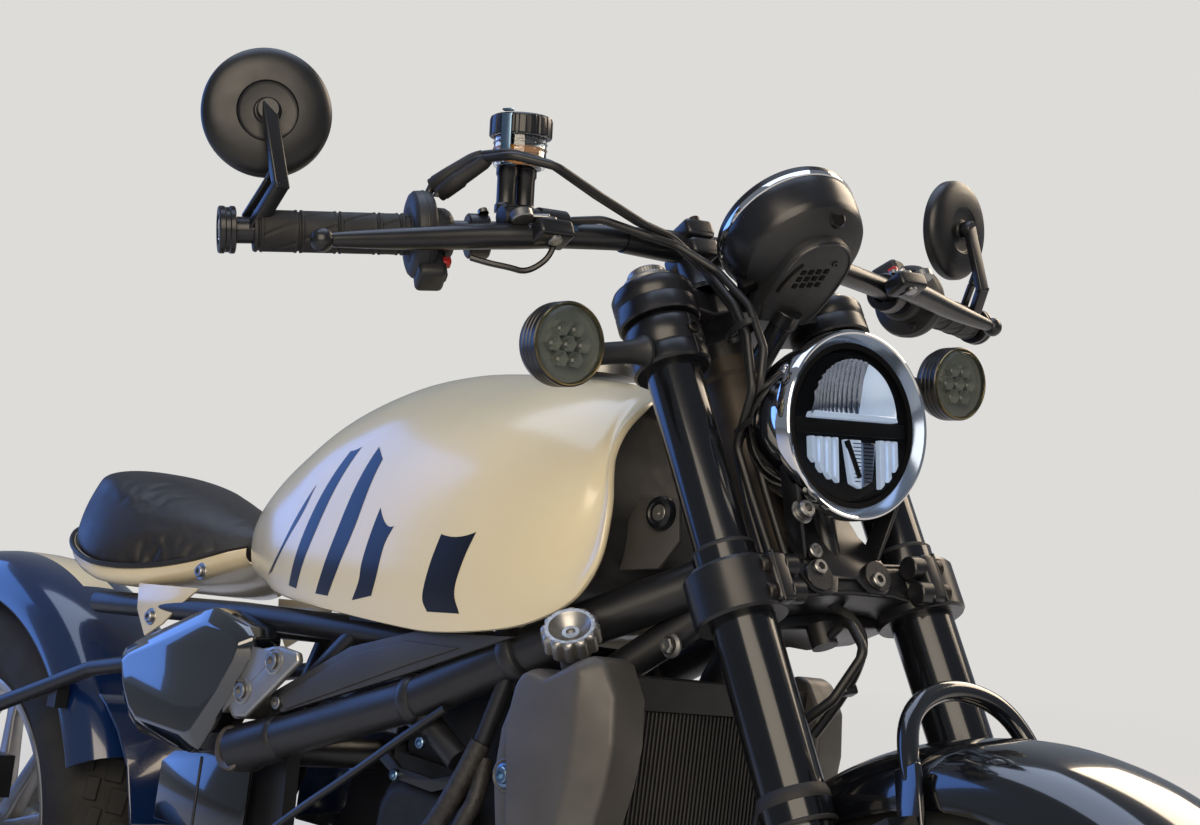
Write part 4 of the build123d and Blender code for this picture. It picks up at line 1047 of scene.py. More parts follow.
def scallopedCap(radius, height, scallops):
    # a deep cap with round bites out of its rim and a dished top
    shape = bmesh.new()
    bmesh.ops.create_circle(shape, cap_ends=False, segments=scallops * 8, radius=radius)
    for vert in shape.verts:
        bite = 0.5 + 0.5 * math.cos(polar(vert)[1] * scallops)
        widened(vert, 1 - 0.15 * bite ** 2.2)
    outline = [(1.0, 0), (1.0, height * 0.72), (0.985, height * 0.86), (0.94, height * 0.95), (0.86, height),
               (0.72, height * 0.99), (0.66, height * 0.9), (0.5, height * 0.62), (0.3, height * 0.46),
               (0.29, height * 0.62), (0.16, height * 0.64), (0.15, height * 0.5), (0.0, height * 0.48)]
    last, lastScale = shape.edges[:], 1.0
    for scale, z in outline[1:]:
        grown = bmesh.ops.extrude_edge_only(shape, edges=last)["geom"]
        verts = vertsIn(grown)
        last = [g for g in grown if isinstance(g, bmesh.types.BMEdge) and all(v in verts for v in g.verts)]
        for vert in verts:
            reach, turn = polar(vert)
            if scale <= 0.86:                     # inside the scalloped rim the dish is round
                reach = radius * scale * (0.985 if scale == 0.86 else 1.0)
            else:
                reach *= scale / lastScale
            if scale == 0.0:
                reach = 0.2
            vert.co = (math.cos(turn) * reach, math.sin(turn) * reach, z)
        lastScale = scale
    bmesh.ops.holes_fill(shape, edges=shape.edges, sides=0)
    return merged(shape)


def makeRadiator(facts):
    (y0, y1), (z0, z1) = facts["coreWidth"], facts["coreHeight"]
    core = bmesh.new()
    count = int((y1 - y0) / facts["finPitch"])
    for index in range(count):
        y = y0 + facts["finPitch"] * (index + 0.5)
        fin = softBox((facts["finDepth"] * 2, facts["finPitch"] * 0.42, z1 - z0 - 2), 0.5, 1)
        add(core, fin, shift(facts["coreFace"], y, (z0 + z1) / 2))
    makePiece("radiatorFins", core, "chassis", "radiatorBlack")

    shrouds, bolts = newShapes(2)
    for side in (-1, 1):
        place = sideways(side, facts["side"]) @ shift(*facts["shroudShift"], 0)
        outer = liftedFace(facts["outerOutline"], facts["outerFace"], facts["thick"], facts["rise"])
        add(shrouds, softened(outer, 4.0, 4, 12), place)
        inner = cutPlate(facts["innerOutline"], facts["thick"] - 4)
        add(shrouds, softened(inner, 2.5, 3, 30), place)
        spot = sideways(side, facts["side"] + facts["thick"] - 4, *facts["boltPlace"])
        add(shrouds, turned([(14, -3), (14, 1.5), (12.4, 2.2), (10.6, 0.5), (10.4, -3)], 36), spot)
        add(bolts, turned([(0, 0.4), (10.2, 0.4), (10.2, 1.6), (7.4, 2.2), (7.4, 2.4)], 36), spot)
        add(bolts, socketBolt(7.0, 6.4), spot)
    makePiece("radiatorShrouds", shrouds, "chassis", "bronzeGreyAbs",
              stands="radiator_shrouds", sharp=36)
    makePiece("shroudBolts", bolts, "chassis", "blueZincSteel")

    lean = Vector(facts["capLean"]).normalized()
    foot = Vector(facts["capPlace"])
    cap = scallopedCap(facts["capRadius"], 18, facts["scallops"])
    piece = bmesh.new()
    add(piece, cap, aim(foot + lean * 42, foot + lean * 60))
    add(piece, turned([(13, 6), (13, 30), (16, 31), (17.5, 34), (17.5, 41.6), (13, 42)], 40),
        aim(foot, foot + lean * 60))
    makePiece("radiatorCap", piece, "chassis", "castSilverAluminium", stands="radiator_cap",
              sharp=36)


makeRadiator(radiatorFacts)
print("radiator made")


# Tubes, rings and hoses on both sides of the engine
engineSideFacts = {
    "boss": (-97, 522, 128),
    "bossRing": [(13, -6), (13, 2), (14, 4.6), (16, 5.4), (20.6, 5.4), (22.4, 4), (22.6, 0), (22.6, -30)],
    "bossWell": [(0, -5), (7, -5), (7, -2), (13, -2)],
    "sleeve": ((-97, 118, 522), (-30, 116.6, 543.7)),
    "sleeveOutline": [(0, 0), (24, 0), (22.6, 62), (22, 66), (19.6, 69), (0, 69)],
    # welded collars on the main tube: where they sit and which way the tube runs
    "collars": [((262, 101, 656), (0.89, -0.1, 0.44), 24.5), ((150, 112, 602), (0.94, -0.04, 0.32), 23.5)],
    "stays": [([(258, 101, 650), (246, 101, 616), (226, 100, 565)], 8.5),
              ([(150, 110, 596), (176, 106, 575), (206, 102, 556)], 12)],
    "hoses": [([(230, 101, 575), (222, 108, 545), (205, 112, 510), (186, 112, 484), (150, 106, 452)], 10),
              ([(232, 96, 560), (240, 104, 530), (226, 112, 500), (214, 108, 462)], 8)],
    "cable": [([(196, 118, 600), (163, 124, 576), (87, 125, 524), (8, 125, 475), (-50, 120, 436)], 4)],
    "headCover": [(88, 452), (90, 500), (100, 520), (118, 527), (190, 520), (212, 508), (224, 470), (222, 452)],
    "headFace": [(98, 458), (100, 497), (108, 511), (122, 517), (186, 511), (203, 501), (213, 470), (211, 458)],
    "bracket": [(92, 540), (120, 526), (170, 522), (214, 536), (214, 546), (170, 534), (122, 537), (98, 552)],
    "gaiter": [(-262, 425), (-262, 486), (-240, 500), (-118, 514), (-104, 500), (-104, 425)],
    "tealBolts": [(171, 566, 117), (120, 530, 98), (196, 527, 98)],
}


def makeEngineSides(facts):
    metal, tubes, hoses, cast, bolts, gloss = newShapes(6)
    for side in (-1, 1):
        flip = mirrored(side)
        x, z, y = facts["boss"]
        spot = sideways(side, y, x, z)
        add(metal, turned(facts["bossRing"], 56), spot)
        add(metal, turned(facts["bossWell"], 12), spot, material=1)
        start, end = (flip @ Vector(p) for p in facts["sleeve"])
        add(tubes, turned(facts["sleeveOutline"], 48), aim(start, end))
        for centre, run, radius in facts["collars"]:
            bead = turned([(radius - 5, -9), (radius - 2, -7.4), (radius, -3), (radius, 3), (radius - 2, 7.4),
                           (radius - 5, 9)], 40)
            place = flip @ Vector(centre)
            add(tubes, bead, aim(place, place + flip.to_3x3() @ Vector(run)))
        for target, kind, sides in ((tubes, "stays", 20), (hoses, "hoses", 24), (tubes, "cable", 12)):
            for points, radius in facts[kind]:
                add(target, bentRod([flip @ Vector(p) for p in points], radius, sides=sides))
        cover = liftedFace(facts["headCover"], facts["headFace"], 16, 5)
        add(cast, softened(cover, 3, 3), sideways(side, 72))
        arm = cutPlate(facts["bracket"], 5, 1.2)
        add(tubes, arm, sideways(side, 93))
        for bx, bz, by in facts["tealBolts"]:
            add(bolts, socketBolt(5.4, 5), sideways(side, by, bx, bz))
        panel = cutPlate(facts["gaiter"], 4)
        add(gloss, softened(panel, 1.4, 2, 40), sideways(side, 92))
        seam = softBox((3, 74, 2.4), 0.7, 1)
        add(gloss, seam, sideways(side, 96, -190, 464), material=1)
    makePiece("pivotRings", metal, "chassis", "bronzeAlloy mattBlackAbs", sharp=28)
    makePiece("frameStays", tubes, "chassis", "satinPowderCoat")
    makePiece("braidedSleeves", hoses, "chassis", "braidedSleeve")
    makePiece("headCovers", cast, "chassis", "castGreyAluminium", sharp=24)
    makePiece("engineBolts", bolts, "chassis", "blueZincSteel")
    makePiece("rearSidePanels", gloss, "chassis", "glossBlackEnamel mattBlackAbs")


makeEngineSides(engineSideFacts)
print("engine sides made")


# Bar-end mirrors: domed backs with ringed steps, flat forged arms, clamps round the bar ends
mirrorFacts = {
    "centre": (-56, 401, 926), "turnRight": 22, "turnLeft": 12,
    "back": [(50, -8), (52.2, -8.2), (53, -7), (53, -1), (52.2, 1.4), (49.8, 4.4), (45, 7.0), (38, 8.8), (29, 9.8),
             (25.2, 9.9), (24.4, 9.2), (24.0, 8.0), (22.6, 7.4), (21.6, 7.2), (11.6, 7.0), (10.8, 7.6), (10.2, 8.8),
             (8.6, 9.2), (7.4, 8.4), (7.0, 3.0), (0, 3.0)],
    "armWidth": 12.5, "armDepth": 8.5, "knee": (-53, 403, 850), "armFoot": (-94, 415, 829),
    "strut": [(-51, 403, 872), (-64, 405, 864), (-98, 414, 848)],
}
barFacts = {
    "rise": 803, "ahead": 5, "bendHalf": 112, "end": (-98, 425, 835),
    "radius": 11, "centreRadius": 14, "centreHalf": 72, "taper": 46,
    "gripRadius": 17, "gripStart": 14, "gripEnd": 140,
}


def barPoint(distance, side):
    end = Vector((barFacts["end"][0], side * barFacts["end"][1], barFacts["end"][2]))
    bend = Vector((barFacts["ahead"], side * barFacts["bendHalf"], barFacts["rise"]))
    return end + (bend - end).normalized() * distance


def barPlace(distance, side):
    # Z runs along the bar from its end inwards, X ahead
    z = (barPoint(10, side) - barPoint(0, side)).normalized()
    x = squared((1, 0, 0), z)
    return axes(barPoint(distance, side), x, z.cross(x), z)


def makeMirrors(facts):
    shells, glasses, arms = newShapes(3)
    for side in (-1, 1):
        turn = math.radians(facts["turnRight"] if side < 0 else facts["turnLeft"])
        rake = math.radians(forkRake)
        facing = Vector((math.cos(turn) * math.cos(rake), side * math.sin(turn), -math.sin(rake))).normalized()
        x, y, z = facts["centre"]
        centre, across = Vector((x, side * y, z)), squared((0, 1, 0), facing)
        place = axes(centre, across, facing.cross(across), facing)
        add(shells, turned(facts["back"], 96), place)
        add(glasses, turned([(0, -6.4), (49.4, -6.4), (50, -7), (50, -8.4), (49.4, -9), (0, -9)], 96), place)
        joint = centre + facing * 15
        ball = turned([(0, 0), (6.4, 0), (7.4, 2), (7.4, 9), (9.4, 10), (9.4, 16), (8.2, 18.5), (0, 18.5)], 32)
        add(arms, ball, axes(joint - facing * 13, across, facing.cross(across), facing))
        out = Vector((0, 1, 0))
        top = joint + facing * 1.5
        knee, foot = (mirrored(side) @ Vector(facts[key]) for key in ("knee", "armFoot"))
        add(arms, beam(top + Vector((1, 0, 6)), knee + Vector((0, 0, -3)), out, facts["armWidth"], facts["armDepth"]))
        add(arms, beam(knee + Vector((3, 0, 2)), foot, out, facts["armWidth"], facts["armDepth"]))
        strut = [mirrored(side) @ Vector(p) for p in facts["strut"]]
        for start, end in zip(strut, strut[1:]):
            add(arms, beam(start, end, out, facts["armWidth"] * 0.7, 4.6))
        add(arms, turned([(12.2, -0.4), (18.4, -0.4), (19.2, 0.6), (19.2, 4), (18.2, 5), (18.2, 8), (19.2, 9),
                          (19.2, 12.2), (18.2, 13), (12.2, 13)], 56), barPlace(-13.4, side))
        add(arms, turned([(0, 1.2), (6, 1.2), (6.6, 2.4), (8.4, 2.4), (9, 1.2), (11.4, 1.2), (12.2, 2.6), (12.2, 10),
                          (0, 10)], 48), barPlace(-14.4, side), material=1)
    makePiece("mirrorShells", shells, "steering", "mirrorBackAbs", stands="mirror_shells",
              sharp=24)
    makePiece("mirrorFaces", glasses, "steering", "mirrorGlass", stands="mirror_glasses")
    makePiece("mirrorArms", arms, "steering", "satinBlackPaint chromePlate",
              stands="mirror_arms", sharp=30)


def makeGrips(facts):
    grips = bmesh.new()
    for side in (-1, 1):
        length = facts["gripEnd"] - facts["gripStart"]
        rings = []
        marks = (4, 36, 68, 100, length - 7)
        stop = 0.0
        while stop <= length:
            near = min(abs(stop - m) for m in marks)
            rings.append((facts["gripRadius"] - (1.1 if near < 0.9 else 0) + (0.5 if 1.4 < near < 3.2 else 0), stop))
            stop += 0.75
        outline = [(11.2, 0)] + rings + [(22.5, length), (23, length + 1), (23, length + 4), (22.4, length + 5),
                                         (11.2, length + 5)]
        body = turned(outline, 96)
        for vert in body.verts:                                 # six winding grooves between the marks
            reach, turn = polar(vert)
            if 14 < reach < 18.2 and min(abs(vert.co.z - m) for m in marks) > 3.4:
                groove = max(0.0, math.cos((turn + vert.co.z * 0.028) * 6) - 0.86) / 0.14
                widened(vert, 1 - 0.055 * groove)
        add(grips, body, barPlace(facts["gripStart"], side))
    makePiece("handGrips", grips, "steering", "gripRubber", stands="grips", sharp=50)


makeMirrors(mirrorFacts)
makeGrips(barFacts)
print("mirrors and grips made")


# Handlebar, switch housings, levers, brake cylinder with its fluid cup
controlFacts = {
    "cupFoot": (8, -211, 858), "cupRadius": 22, "cupHeight": 26, "capHeight": 18, "capRadius": 26.5,
    "lever": [(13, -198, 789), (6, -220, 791), (-5, -250, 794), (-18, -290, 795), (-29, -332, 795), (-37, -366, 795),
              (-41, -382, 795)],
    "guard": [(-18, -262, 780), (-14, -250, 774), (-8, -232, 768), (-6, -222, 764), (0, -212, 766), (10, -203, 772),
              (13, -200, 780)],
    "boots": [((-30, -275, 856), (14, -249, 862)), ((-26, -272, 846), (22, -250, 852))],
    "leverWide": [1.5, 1.75, 1.75, 1.6, 1.35, 1.05, 0.85],
    "ball": (-41, -382, 795), "ballRadius": 9.6, "riserSide": 45, "riserFoot": 754, "pivot": (15, -203, 789),
}


def makeBar(facts, riser):
    bar = bmesh.new()
    ends = [barPoint(0, -1), Vector((facts["ahead"], -facts["bendHalf"] - 22, facts["rise"] + 2)),
            Vector((facts["ahead"], -facts["bendHalf"] + 16, facts["rise"]))]
    points = ends + [Vector((facts["ahead"], 0, facts["rise"]))] + [Vector((p.x, -p.y, p.z)) for p in ends[::-1]]
    add(bar, bentRod(points, facts["radius"], sides=28))
    half, taper = facts["centreHalf"], facts["taper"]
    outline = [(facts["radius"] - 0.5, -half - taper), (facts["radius"] + 0.6, -half - taper)]
    outline += [(facts["centreRadius"], -half), (facts["centreRadius"], half), (facts["radius"] + 0.6, half + taper),
                (facts["radius"] - 0.5, half + taper)]
    place = outward(1, facts["ahead"], 0, facts["rise"])
    add(bar, turned(outline, 40), place)
    for side in (-1, 1):                                       # knurled bands beside the clamps
        rings = []
        for index in range(26):
            rings += [(facts["centreRadius"] + 0.15, index * 1.0), (facts["centreRadius"] + 0.7, index * 1.0 + 0.5)]
        add(bar, turned(rings, 40), place @ shift(0, 0, 30 if side > 0 else -56))
    makePiece("handlebarTube", bar, "steering", "satinBlackPaint")

    risers = bmesh.new()
    for side in (-1, 1):
        y = side * riser["riserSide"]
        post = turned([(20, 0), (20, 3), (17.4, 5), (16, 8), (15.4, 24), (15.4, 40)], 40)
        add(risers, post, shift(facts["ahead"], y, riser["riserFoot"]))
        for height in (-9.5, 9.5):                                # lower and upper halves of the clamp
            add(risers, softBox((46, 30, 17), 4.5, 4), shift(facts["ahead"], y, facts["rise"] + height))
        for x in (-16, 16):
            add(risers, socketBolt(5.2, 5), shift(facts["ahead"] + x, y, facts["rise"] + 17), material=1)
    makePiece("barClamps", risers, "steering", "satinBlackPaint darkSteelSatin",
              stands="handlebar", sharp=34)


def makeHousings():
    housings, rubber = newShapes(2)
    drum = [(11.2, 0), (30, 0), (33.6, 1.4), (36, 4), (36.4, 8), (36.4, 14), (35, 17.6), (32, 19.4), (26, 20),
            (23, 22), (22.4, 30), (20, 34), (17, 36), (11.2, 36)]
    for side in (-1, 1):
        place = barPlace(140.6, side)
        add(housings, turned(drum, 64), place)
        for turn in (40, 150, 262):                             # screw bosses round the drum
            boss = turned([(0, 22), (3.2, 22), (4.6, 20.6), (4.6, 10), (0, 10)], 20)
            add(housings, boss, place @ about("Z", math.radians(turn)) @ shift(29, 0, 0))
        seam = turned([(36.6, 10.4), (36.9, 10.9), (36.9, 11.5), (36.6, 12)], 64)
        add(housings, seam, place)
        pod = softBox((30, 36, 24), 5, 4)
        add(housings, pod, place @ shift(-6, 26, 16))
        button = softBox((12, 9, 8), 2.4, 3)
        add(rubber, button, place @ shift(-14, 30, 28))
        rocker = softBox((10, 7, 8), 2, 3)
        add(rubber, rocker, place @ shift(4, 30, 28), material=1)
    makePiece("switchHousings", housings, "steering", "mattBlackAbs", stands="switch_housings", sharp=32)
    makePiece("switchButtons", rubber, "steering", "gripRubber redPlastic")


def makeLevers(facts):
    levers, silver = newShapes(2)
    for side in (-1, 1):
        flip = mirrored(-side)
        points = [flip @ Vector(p) for p in facts["lever"]]
        blade = bentRod(points, 6.2, sides=20, radii=facts["leverWide"])
        add(levers, blade)
        ball = bmesh.new()
        bmesh.ops.create_uvsphere(ball, u_segments=32, v_segments=20, radius=facts["ballRadius"])
        add(levers, ball, Matrix.Translation(flip @ Vector(facts["ball"])))
        x, y, z = flip @ Vector(facts["pivot"])
        perch = softBox((26, 34, 16), 4, 4)
        add(levers, perch, shift(x + 2, y, z))
        pin = turned([(0, 11), (5, 11), (6, 10), (6, -10), (5, -11), (0, -11)], 28)
        add(silver, pin, shift(x + 6, y, z))
        clampRing = turned([(11.2, 0), (17.6, 0), (19, 1.4), (19, 16.6), (17.6, 18), (11.2, 18)], 44)
        add(levers, clampRing, barPlace(190, side))
        stem = beam(barPoint(199, side) + Vector((10, 0, -4)), Vector((x - 4, y, z + 4)), (0, 1, 0), 20, 16, 3)
        add(levers, stem)
        screw = socketBolt(4.6, 4)
        add(silver, screw, Matrix.Translation(barPoint(199, side) + Vector((16, 0, 12))))
        dial = turned([(0, 4), (8.4, 4), (9.6, 3), (9.6, -3), (8.4, -4), (0, -4)], 12)
        add(silver, dial, shift(x + 4, y + side * 26, z + 12))
        tongue = beam(flip @ Vector((18, -200, 803)), flip @ Vector((-3, -229, 814)), (1, 0, 0), 10, 4.4, 1.6)
        add(silver, tongue)
        if side < 0:                                              # bent wire below the lever: a spring guard
            add(levers, bentRod(facts["guard"], 2.6, sides=12))
    makePiece("brakeAndClutchLevers", levers, "steering", "satinBlackPaint",
              stands="hand_levers", sharp=40)
    makePiece("leverPins", silver, "steering", "brushedSteel")


def makeFluidCup(facts):
    rake = math.radians(forkRake)
    place = leaning(facts["cupFoot"], Vector((math.sin(rake), 0, math.cos(rake))))
    r, tall, capTall, capR = facts["cupRadius"], facts["cupHeight"], facts["capHeight"], facts["capRadius"]
    cup = bmesh.new()
    add(cup, turned([(0, 0), (r - 3, 0), (r - 0.8, 1.2), (r, 3.4), (r, tall + 2), (r - 2, tall + 2), (r - 2, 4),
                     (r - 4, 2), (0, 2)], 64), place)
    for height in (16, 21):
        add(cup,
            turned([(r, height - 0.8), (r + 0.9, height - 0.4), (r + 0.9, height + 0.4), (r, height + 0.8)],
                   64), place)
    makePiece("fluidCup", cup, "steering", "clearPolycarbonate")
    fluid = bmesh.new()
    add(fluid, turned([(0, 2.3), (r - 4, 2.3), (r - 2.3, 4.4), (r - 2.3, 17), (0, 17)], 48), place)
    makePiece("brakeFluid", fluid, "steering", "amberFluid")

    cap = bmesh.new()
    lid = turned([(r + 0.4, 0), (capR - 0.8, 0), (capR, 1), (capR, capTall - 4), (capR - 0.8, capTall - 1.6),
                  (capR - 3, capTall - 0.2), (capR - 6, capTall), (capR - 7, capTall - 1.4), (0, capTall - 1.4)], 144)
    for vert in lid.verts:                                         # wide flutes round the cap
        reach, turn = polar(vert)
        if reach > capR - 1.2 and 0.5 < vert.co.z < capTall - 1 and math.cos(turn * 18) > 0.25:
            widened(vert, 1 - 0.028)
    add(cap, lid, place @ shift(0, 0, tall))
    makePiece("fluidCap", cap, "steering", "satinBlackPaint", sharp=26)

    body = bmesh.new()
    strapPlace = place @ about("Z", math.radians(-58))
    strap = softBox((2.0, 9, tall + capTall - 6), 0.7, 2)
    add(body, strap, strapPlace @ shift(capR + 1.2, 0, (tall + capTall) / 2 + 1), material=1)
    lip = softBox((5, 9, 2.0), 0.7, 2)
    add(body, lip, strapPlace @ shift(capR - 0.5, 0, tall + capTall + 1), material=1)
    strapFoot = softBox((12, 9, 2.0), 0.7, 2)
    add(body, strapFoot, strapPlace @ shift(capR - 5, 0, 0.5), material=1)
    x, y, z = barPoint(216, -1)
    cylinder = turned([(0, 0), (8, 0), (10.4, 2), (10.4, 34), (12, 36), (12, 62), (10, 64), (0, 64)], 40)
    add(body, cylinder, outward(1, x + 30, y - 14, z - 1))
    mount = softBox((20, 22, 26), 4, 4)
    add(body, mount, shift(x + 22, y + 14, z))
    for offset in (-10, 8):
        stem = turned([(0, 0), (9.6, 0), (9.6, 6), (8.2, 8), (8.2, 30), (9.4, 32), (9.4, 38), (0, 38)], 32)
        add(body, stem, place @ shift(-2, offset, -38))
    banjo = turned([(0, 0), (7.4, 0), (8.2, 1), (8.2, 9), (5, 10), (5, 14), (0, 14)], 6)
    add(body, banjo, outward(1, x + 30, y + 50, z - 1), material=1)
    makePiece("brakeCylinder", body, "steering", "satinBlackPaint blueZincSteel",
              stands="brake_reservoir", sharp=34)

    boots = bmesh.new()                                             # rubber boots where the throttle cables leave
    for start, end in facts["boots"]:
        direction = Vector(end) - Vector(start)
        long = direction.length
        sleeve = turned([(0, 0), (6.6, 0), (6.6, 3), (7.2, 4), (7.2, long * 0.42), (6.2, long * 0.46),
                         (5.8, long * 0.9),
                         (4.4, long), (0, long)], 28)
        add(boots, sleeve, aim(start, end))
    makePiece("cableBoots", boots, "steering", "gripRubber")


makeBar(barFacts, controlFacts)
makeHousings()
makeLevers(controlFacts)
makeFluidCup(controlFacts)
print("bar and controls made")


# Fork clamps, fork tubes' caps, lamp clamps and the bolts in them, the headlight bracket
clampFacts = {
    "legSide": 98, "offset": -40, "lowerBolts": (463, 485), "upperBolts": (731, 749), "bridge": 731,
    "upperRing": [(23.6, 722), (34, 722), (35.6, 723.6), (35.6, 736), (34.4, 738), (34.4, 739), (35.6, 741),
                  (35.6, 751), (33.4, 755), (29, 757), (23.6, 757)],
    "lampRing": [(23.6, 677), (31, 677), (33.2, 679), (33.2, 690), (32, 692), (32, 696), (33.2, 698), (33.2, 714),
                 (30.6, 719), (23.6, 720)],
    "forkCap": [(23.5, 757), (23.5, 763), (22, 765), (19, 765.6), (17, 765.6), (17, 772), (16, 773.4), (9, 773.4),
                (8.4, 771), (0, 771)],
    "lowerRing": [(26.6, 452), (36.6, 452), (38.5, 454.4), (38.5, 493), (36.4, 496), (26.6, 496)],
    "ridge": [(24.6, 511), (26.6, 511.4), (26.6, 513.4), (23.6, 516)],
    "wiper": [(26.6, 300), (27.8, 301), (28.9, 304), (28.9, 309), (28, 311), (27.2, 313.4), (26.6, 314)],
    "sealRing": [(28.6, 285), (29.2, 286), (29.2, 288), (28.6, 289)],
}


def aroundFork(outline, side):
    shape = turned(outline, 72)
    bmesh.ops.translate(shape, vec=(0, side * clampFacts["legSide"], 0), verts=shape.verts)
    return shape


def upperBridge():
    # one arm of the upper clamp, waisted between the tube and the middle
    outline = [(-60, 0), (-60, 30), (-46, 44), (-30, 66), (-28, 86), (18, 86), (20, 66), (14, 44), (24, 30), (26, 0)]
    return softened(cutPlate(outline, 22), 3.4, 4, 30)


def makeClamps(facts):
    black, bolts, caps = newShapes(3)
    for side in (-1, 1):
        for ring in ("upperRing", "lampRing", "lowerRing"):
            add(black, aroundFork(facts[ring], side))
        add(caps, aroundFork(facts["forkCap"], side))
        y = side * facts["legSide"]
        add(black, upperBridge(), shift(0, 0, facts["bridge"]) @ mirrored(side))
        for height in facts["lowerBolts"]:  # pinch bolts through the lower clamp's lugs
            boss = turned([(0, 0), (9.5, 0), (10, 0.6), (10, 13), (9, 14), (0, 14)], 32)
            add(black, boss, outward(-side, 35, y - side * 21, height))
            add(bolts, socketBolt(7.6, 7), outward(side, 35, y - side * 6, height))
            add(bolts, turned([(0, 0), (8.6, 0), (8.6, 1.2), (0, 1.2)], 32), outward(side, 35, y - side * 7, height))
        lug = softBox((20, 18, 42), 4, 4)
        add(black, lug, shift(34, y - side * 15, 474))
        slit = softBox((13, 2.0, 42.6), 0.4, 1)
        add(black, slit, shift(38, y - side * 9.4, 474), material=1)
        for height in facts["upperBolts"]:  # upper pinch bolts, seen from behind
            add(bolts, socketBolt(6.4, 6), outward(side, -34, y - side * 12, height))
        eyeBolt = socketBolt(5.6, 5)
        add(bolts, eyeBolt, forward(32, y - side * 4, 702))
        seam = softBox((5, 1.6, 38), 0.3, 1)
        add(black, seam, shift(31, y - side * 4, 697), material=1)
    # lower clamp: a broad shelf between the legs with an arch beneath and a well round the stem
    arch = [(-96, 452), (-96, 492), (96, 492), (96, 452), (84, 452), (70, 459), (50, 464), (0, 467), (-50, 464),
            (-70, 459), (-84, 452)]
    shelf = softened(cutPlate(arch, 44), 4, 4, 30)
    add(black, shelf, forward(-20, 0, 0))
    tail = softened(cutPlate([(-62, -70), (-72, -26), (-64, 0), (-72, 26), (-62, 70), (-20, 90), (-20, -90)], 34), 4,
                    4, 30)
    add(black, tail, shift(0, 0, 455))
    rib = softBox((12, 150, 5), 2.2, 3)
    add(black, rib, shift(18, 0, 492))
    nut = turned([(12, 757), (22, 757), (24, 759), (24, 763), (19, 764), (19, 772), (17, 774), (8, 774), (7, 770),
                  (0, 770)],
                 6)
    for vert in nut.verts:
        vert.co.x += facts["offset"]
    add(caps, nut)
    makePiece("forkClamps", black, "steering", "satinBlackPaint mattBlackAbs",
              stands="upper_clamp lower_clamp", sharp=32)
    makePiece("clampBolts", bolts, "steering", "darkSteelSatin")
    makePiece("forkCaps", caps, "steering", "castSilverAluminium", sharp=30)

    seals = bmesh.new()
    for side in (-1, 1):
        for ring in ("ridge", "wiper", "sealRing"):
            add(seals, aroundFork(facts[ring], side))
    makePiece("forkSeals", seals, "steering", "gripRubber", sharp=30)


bracketFacts = {
    "lobes": [(-46, 500), (-50, 486), (-44, 470), (-34, 462), (-18, 464), (-10, 478), (10, 478), (18, 464),
              (34, 462), (44, 470), (50, 486), (46, 500), (34, 520), (30, 548), (20, 556), (-20, 556), (-30, 548),
              (-34, 520)],
    "ahead": 44, "thick": 3.2,
    "bolts": [(-30, 487), (30, 476), (-30, 501)],
}


def makeLampBracket(facts):
    # stamped plate in front of the lower clamp that carries the headlight
    plate, bolts = newShapes(2)
    sheet = softened(cutPlate(facts["lobes"], facts["thick"]), 1.0, 2, 30)
    foot = 480                                                  # the height about which the plate leans
    place = shift(facts["ahead"] - 20, 0, foot) @ about("Y", math.radians(-10)) @ forward(0, 0, -foot)
    add(plate, sheet, place)
    for side in (-1, 1):
        arm = beam((facts["ahead"] - 24, side * 40, 500), (62, side * 62, 560), (0, 1, 0), 4, 20, 1.4)
        add(plate, arm)
        ear = turned([(0, 0), (13, 0), (13.6, 0.8), (13.6, 4.2), (13, 5), (0, 5)], 36)
        add(plate, ear, forward(26, side * 32, 480))
    for y, z in facts["bolts"]:
        add(bolts, socketBolt(6.6, 5.4), forward(28, y, z))
    add(bolts, turned([(0, 0), (9.6, 0), (10, 0.6), (10, 1.6), (0, 1.6)], 32), forward(52, -54, 524))
    add(bolts, socketBolt(7.4, 8), forward(54, -54, 524))
    makePiece("headlightBracket", plate, "steering", "satinBlackPaint", sharp=34)
    makePiece("headlightBolts", bolts, "steering", "brushedSteel")


makeClamps(clampFacts)
makeLampBracket(bracketFacts)
print("fork clamps made")


# Tyre treads
treadFacts = {
    "front": {"body": "front_wheel", "radius": 320, "half": 65, "blocks": 54, "node": "front_tyre"},
    "rear": {"body": "rear_wheel", "radius": 323, "half": 75, "blocks": 54, "node": "rear_tyre"},
    "crown": 70, "rim": 203, "depth": 4.2,
}


def tyreOutline(radius, half, crown, rim, drop):
    # from bead to bead over the crown, drop below the CAD surface where the tread blocks stand
    shoulder = half * 0.8
    centre = radius - crown
    bead = half * 0.72
    shoulderRadius = centre + math.sqrt(crown ** 2 - shoulder ** 2)
    middle = (rim + shoulderRadius) / 2
    outline = [(rim + 0.2, -bead + 10), (rim + 0.2, -bead), (rim + 8, -bead - 2.4), (rim + 12, -bead - 4.6)]
    outline += [(middle - 16, -half * 0.965), (middle, -half * 0.995), (middle + 16, -half * 0.96),
                (shoulderRadius - 6, -shoulder - 2.2)]
    for step in range(13):
        y = -shoulder + step * shoulder / 6
        outline.append((centre + math.sqrt(crown ** 2 - y ** 2) - drop, y))
    return outline + [(r, -y) for r, y in reversed(outline[:8])]


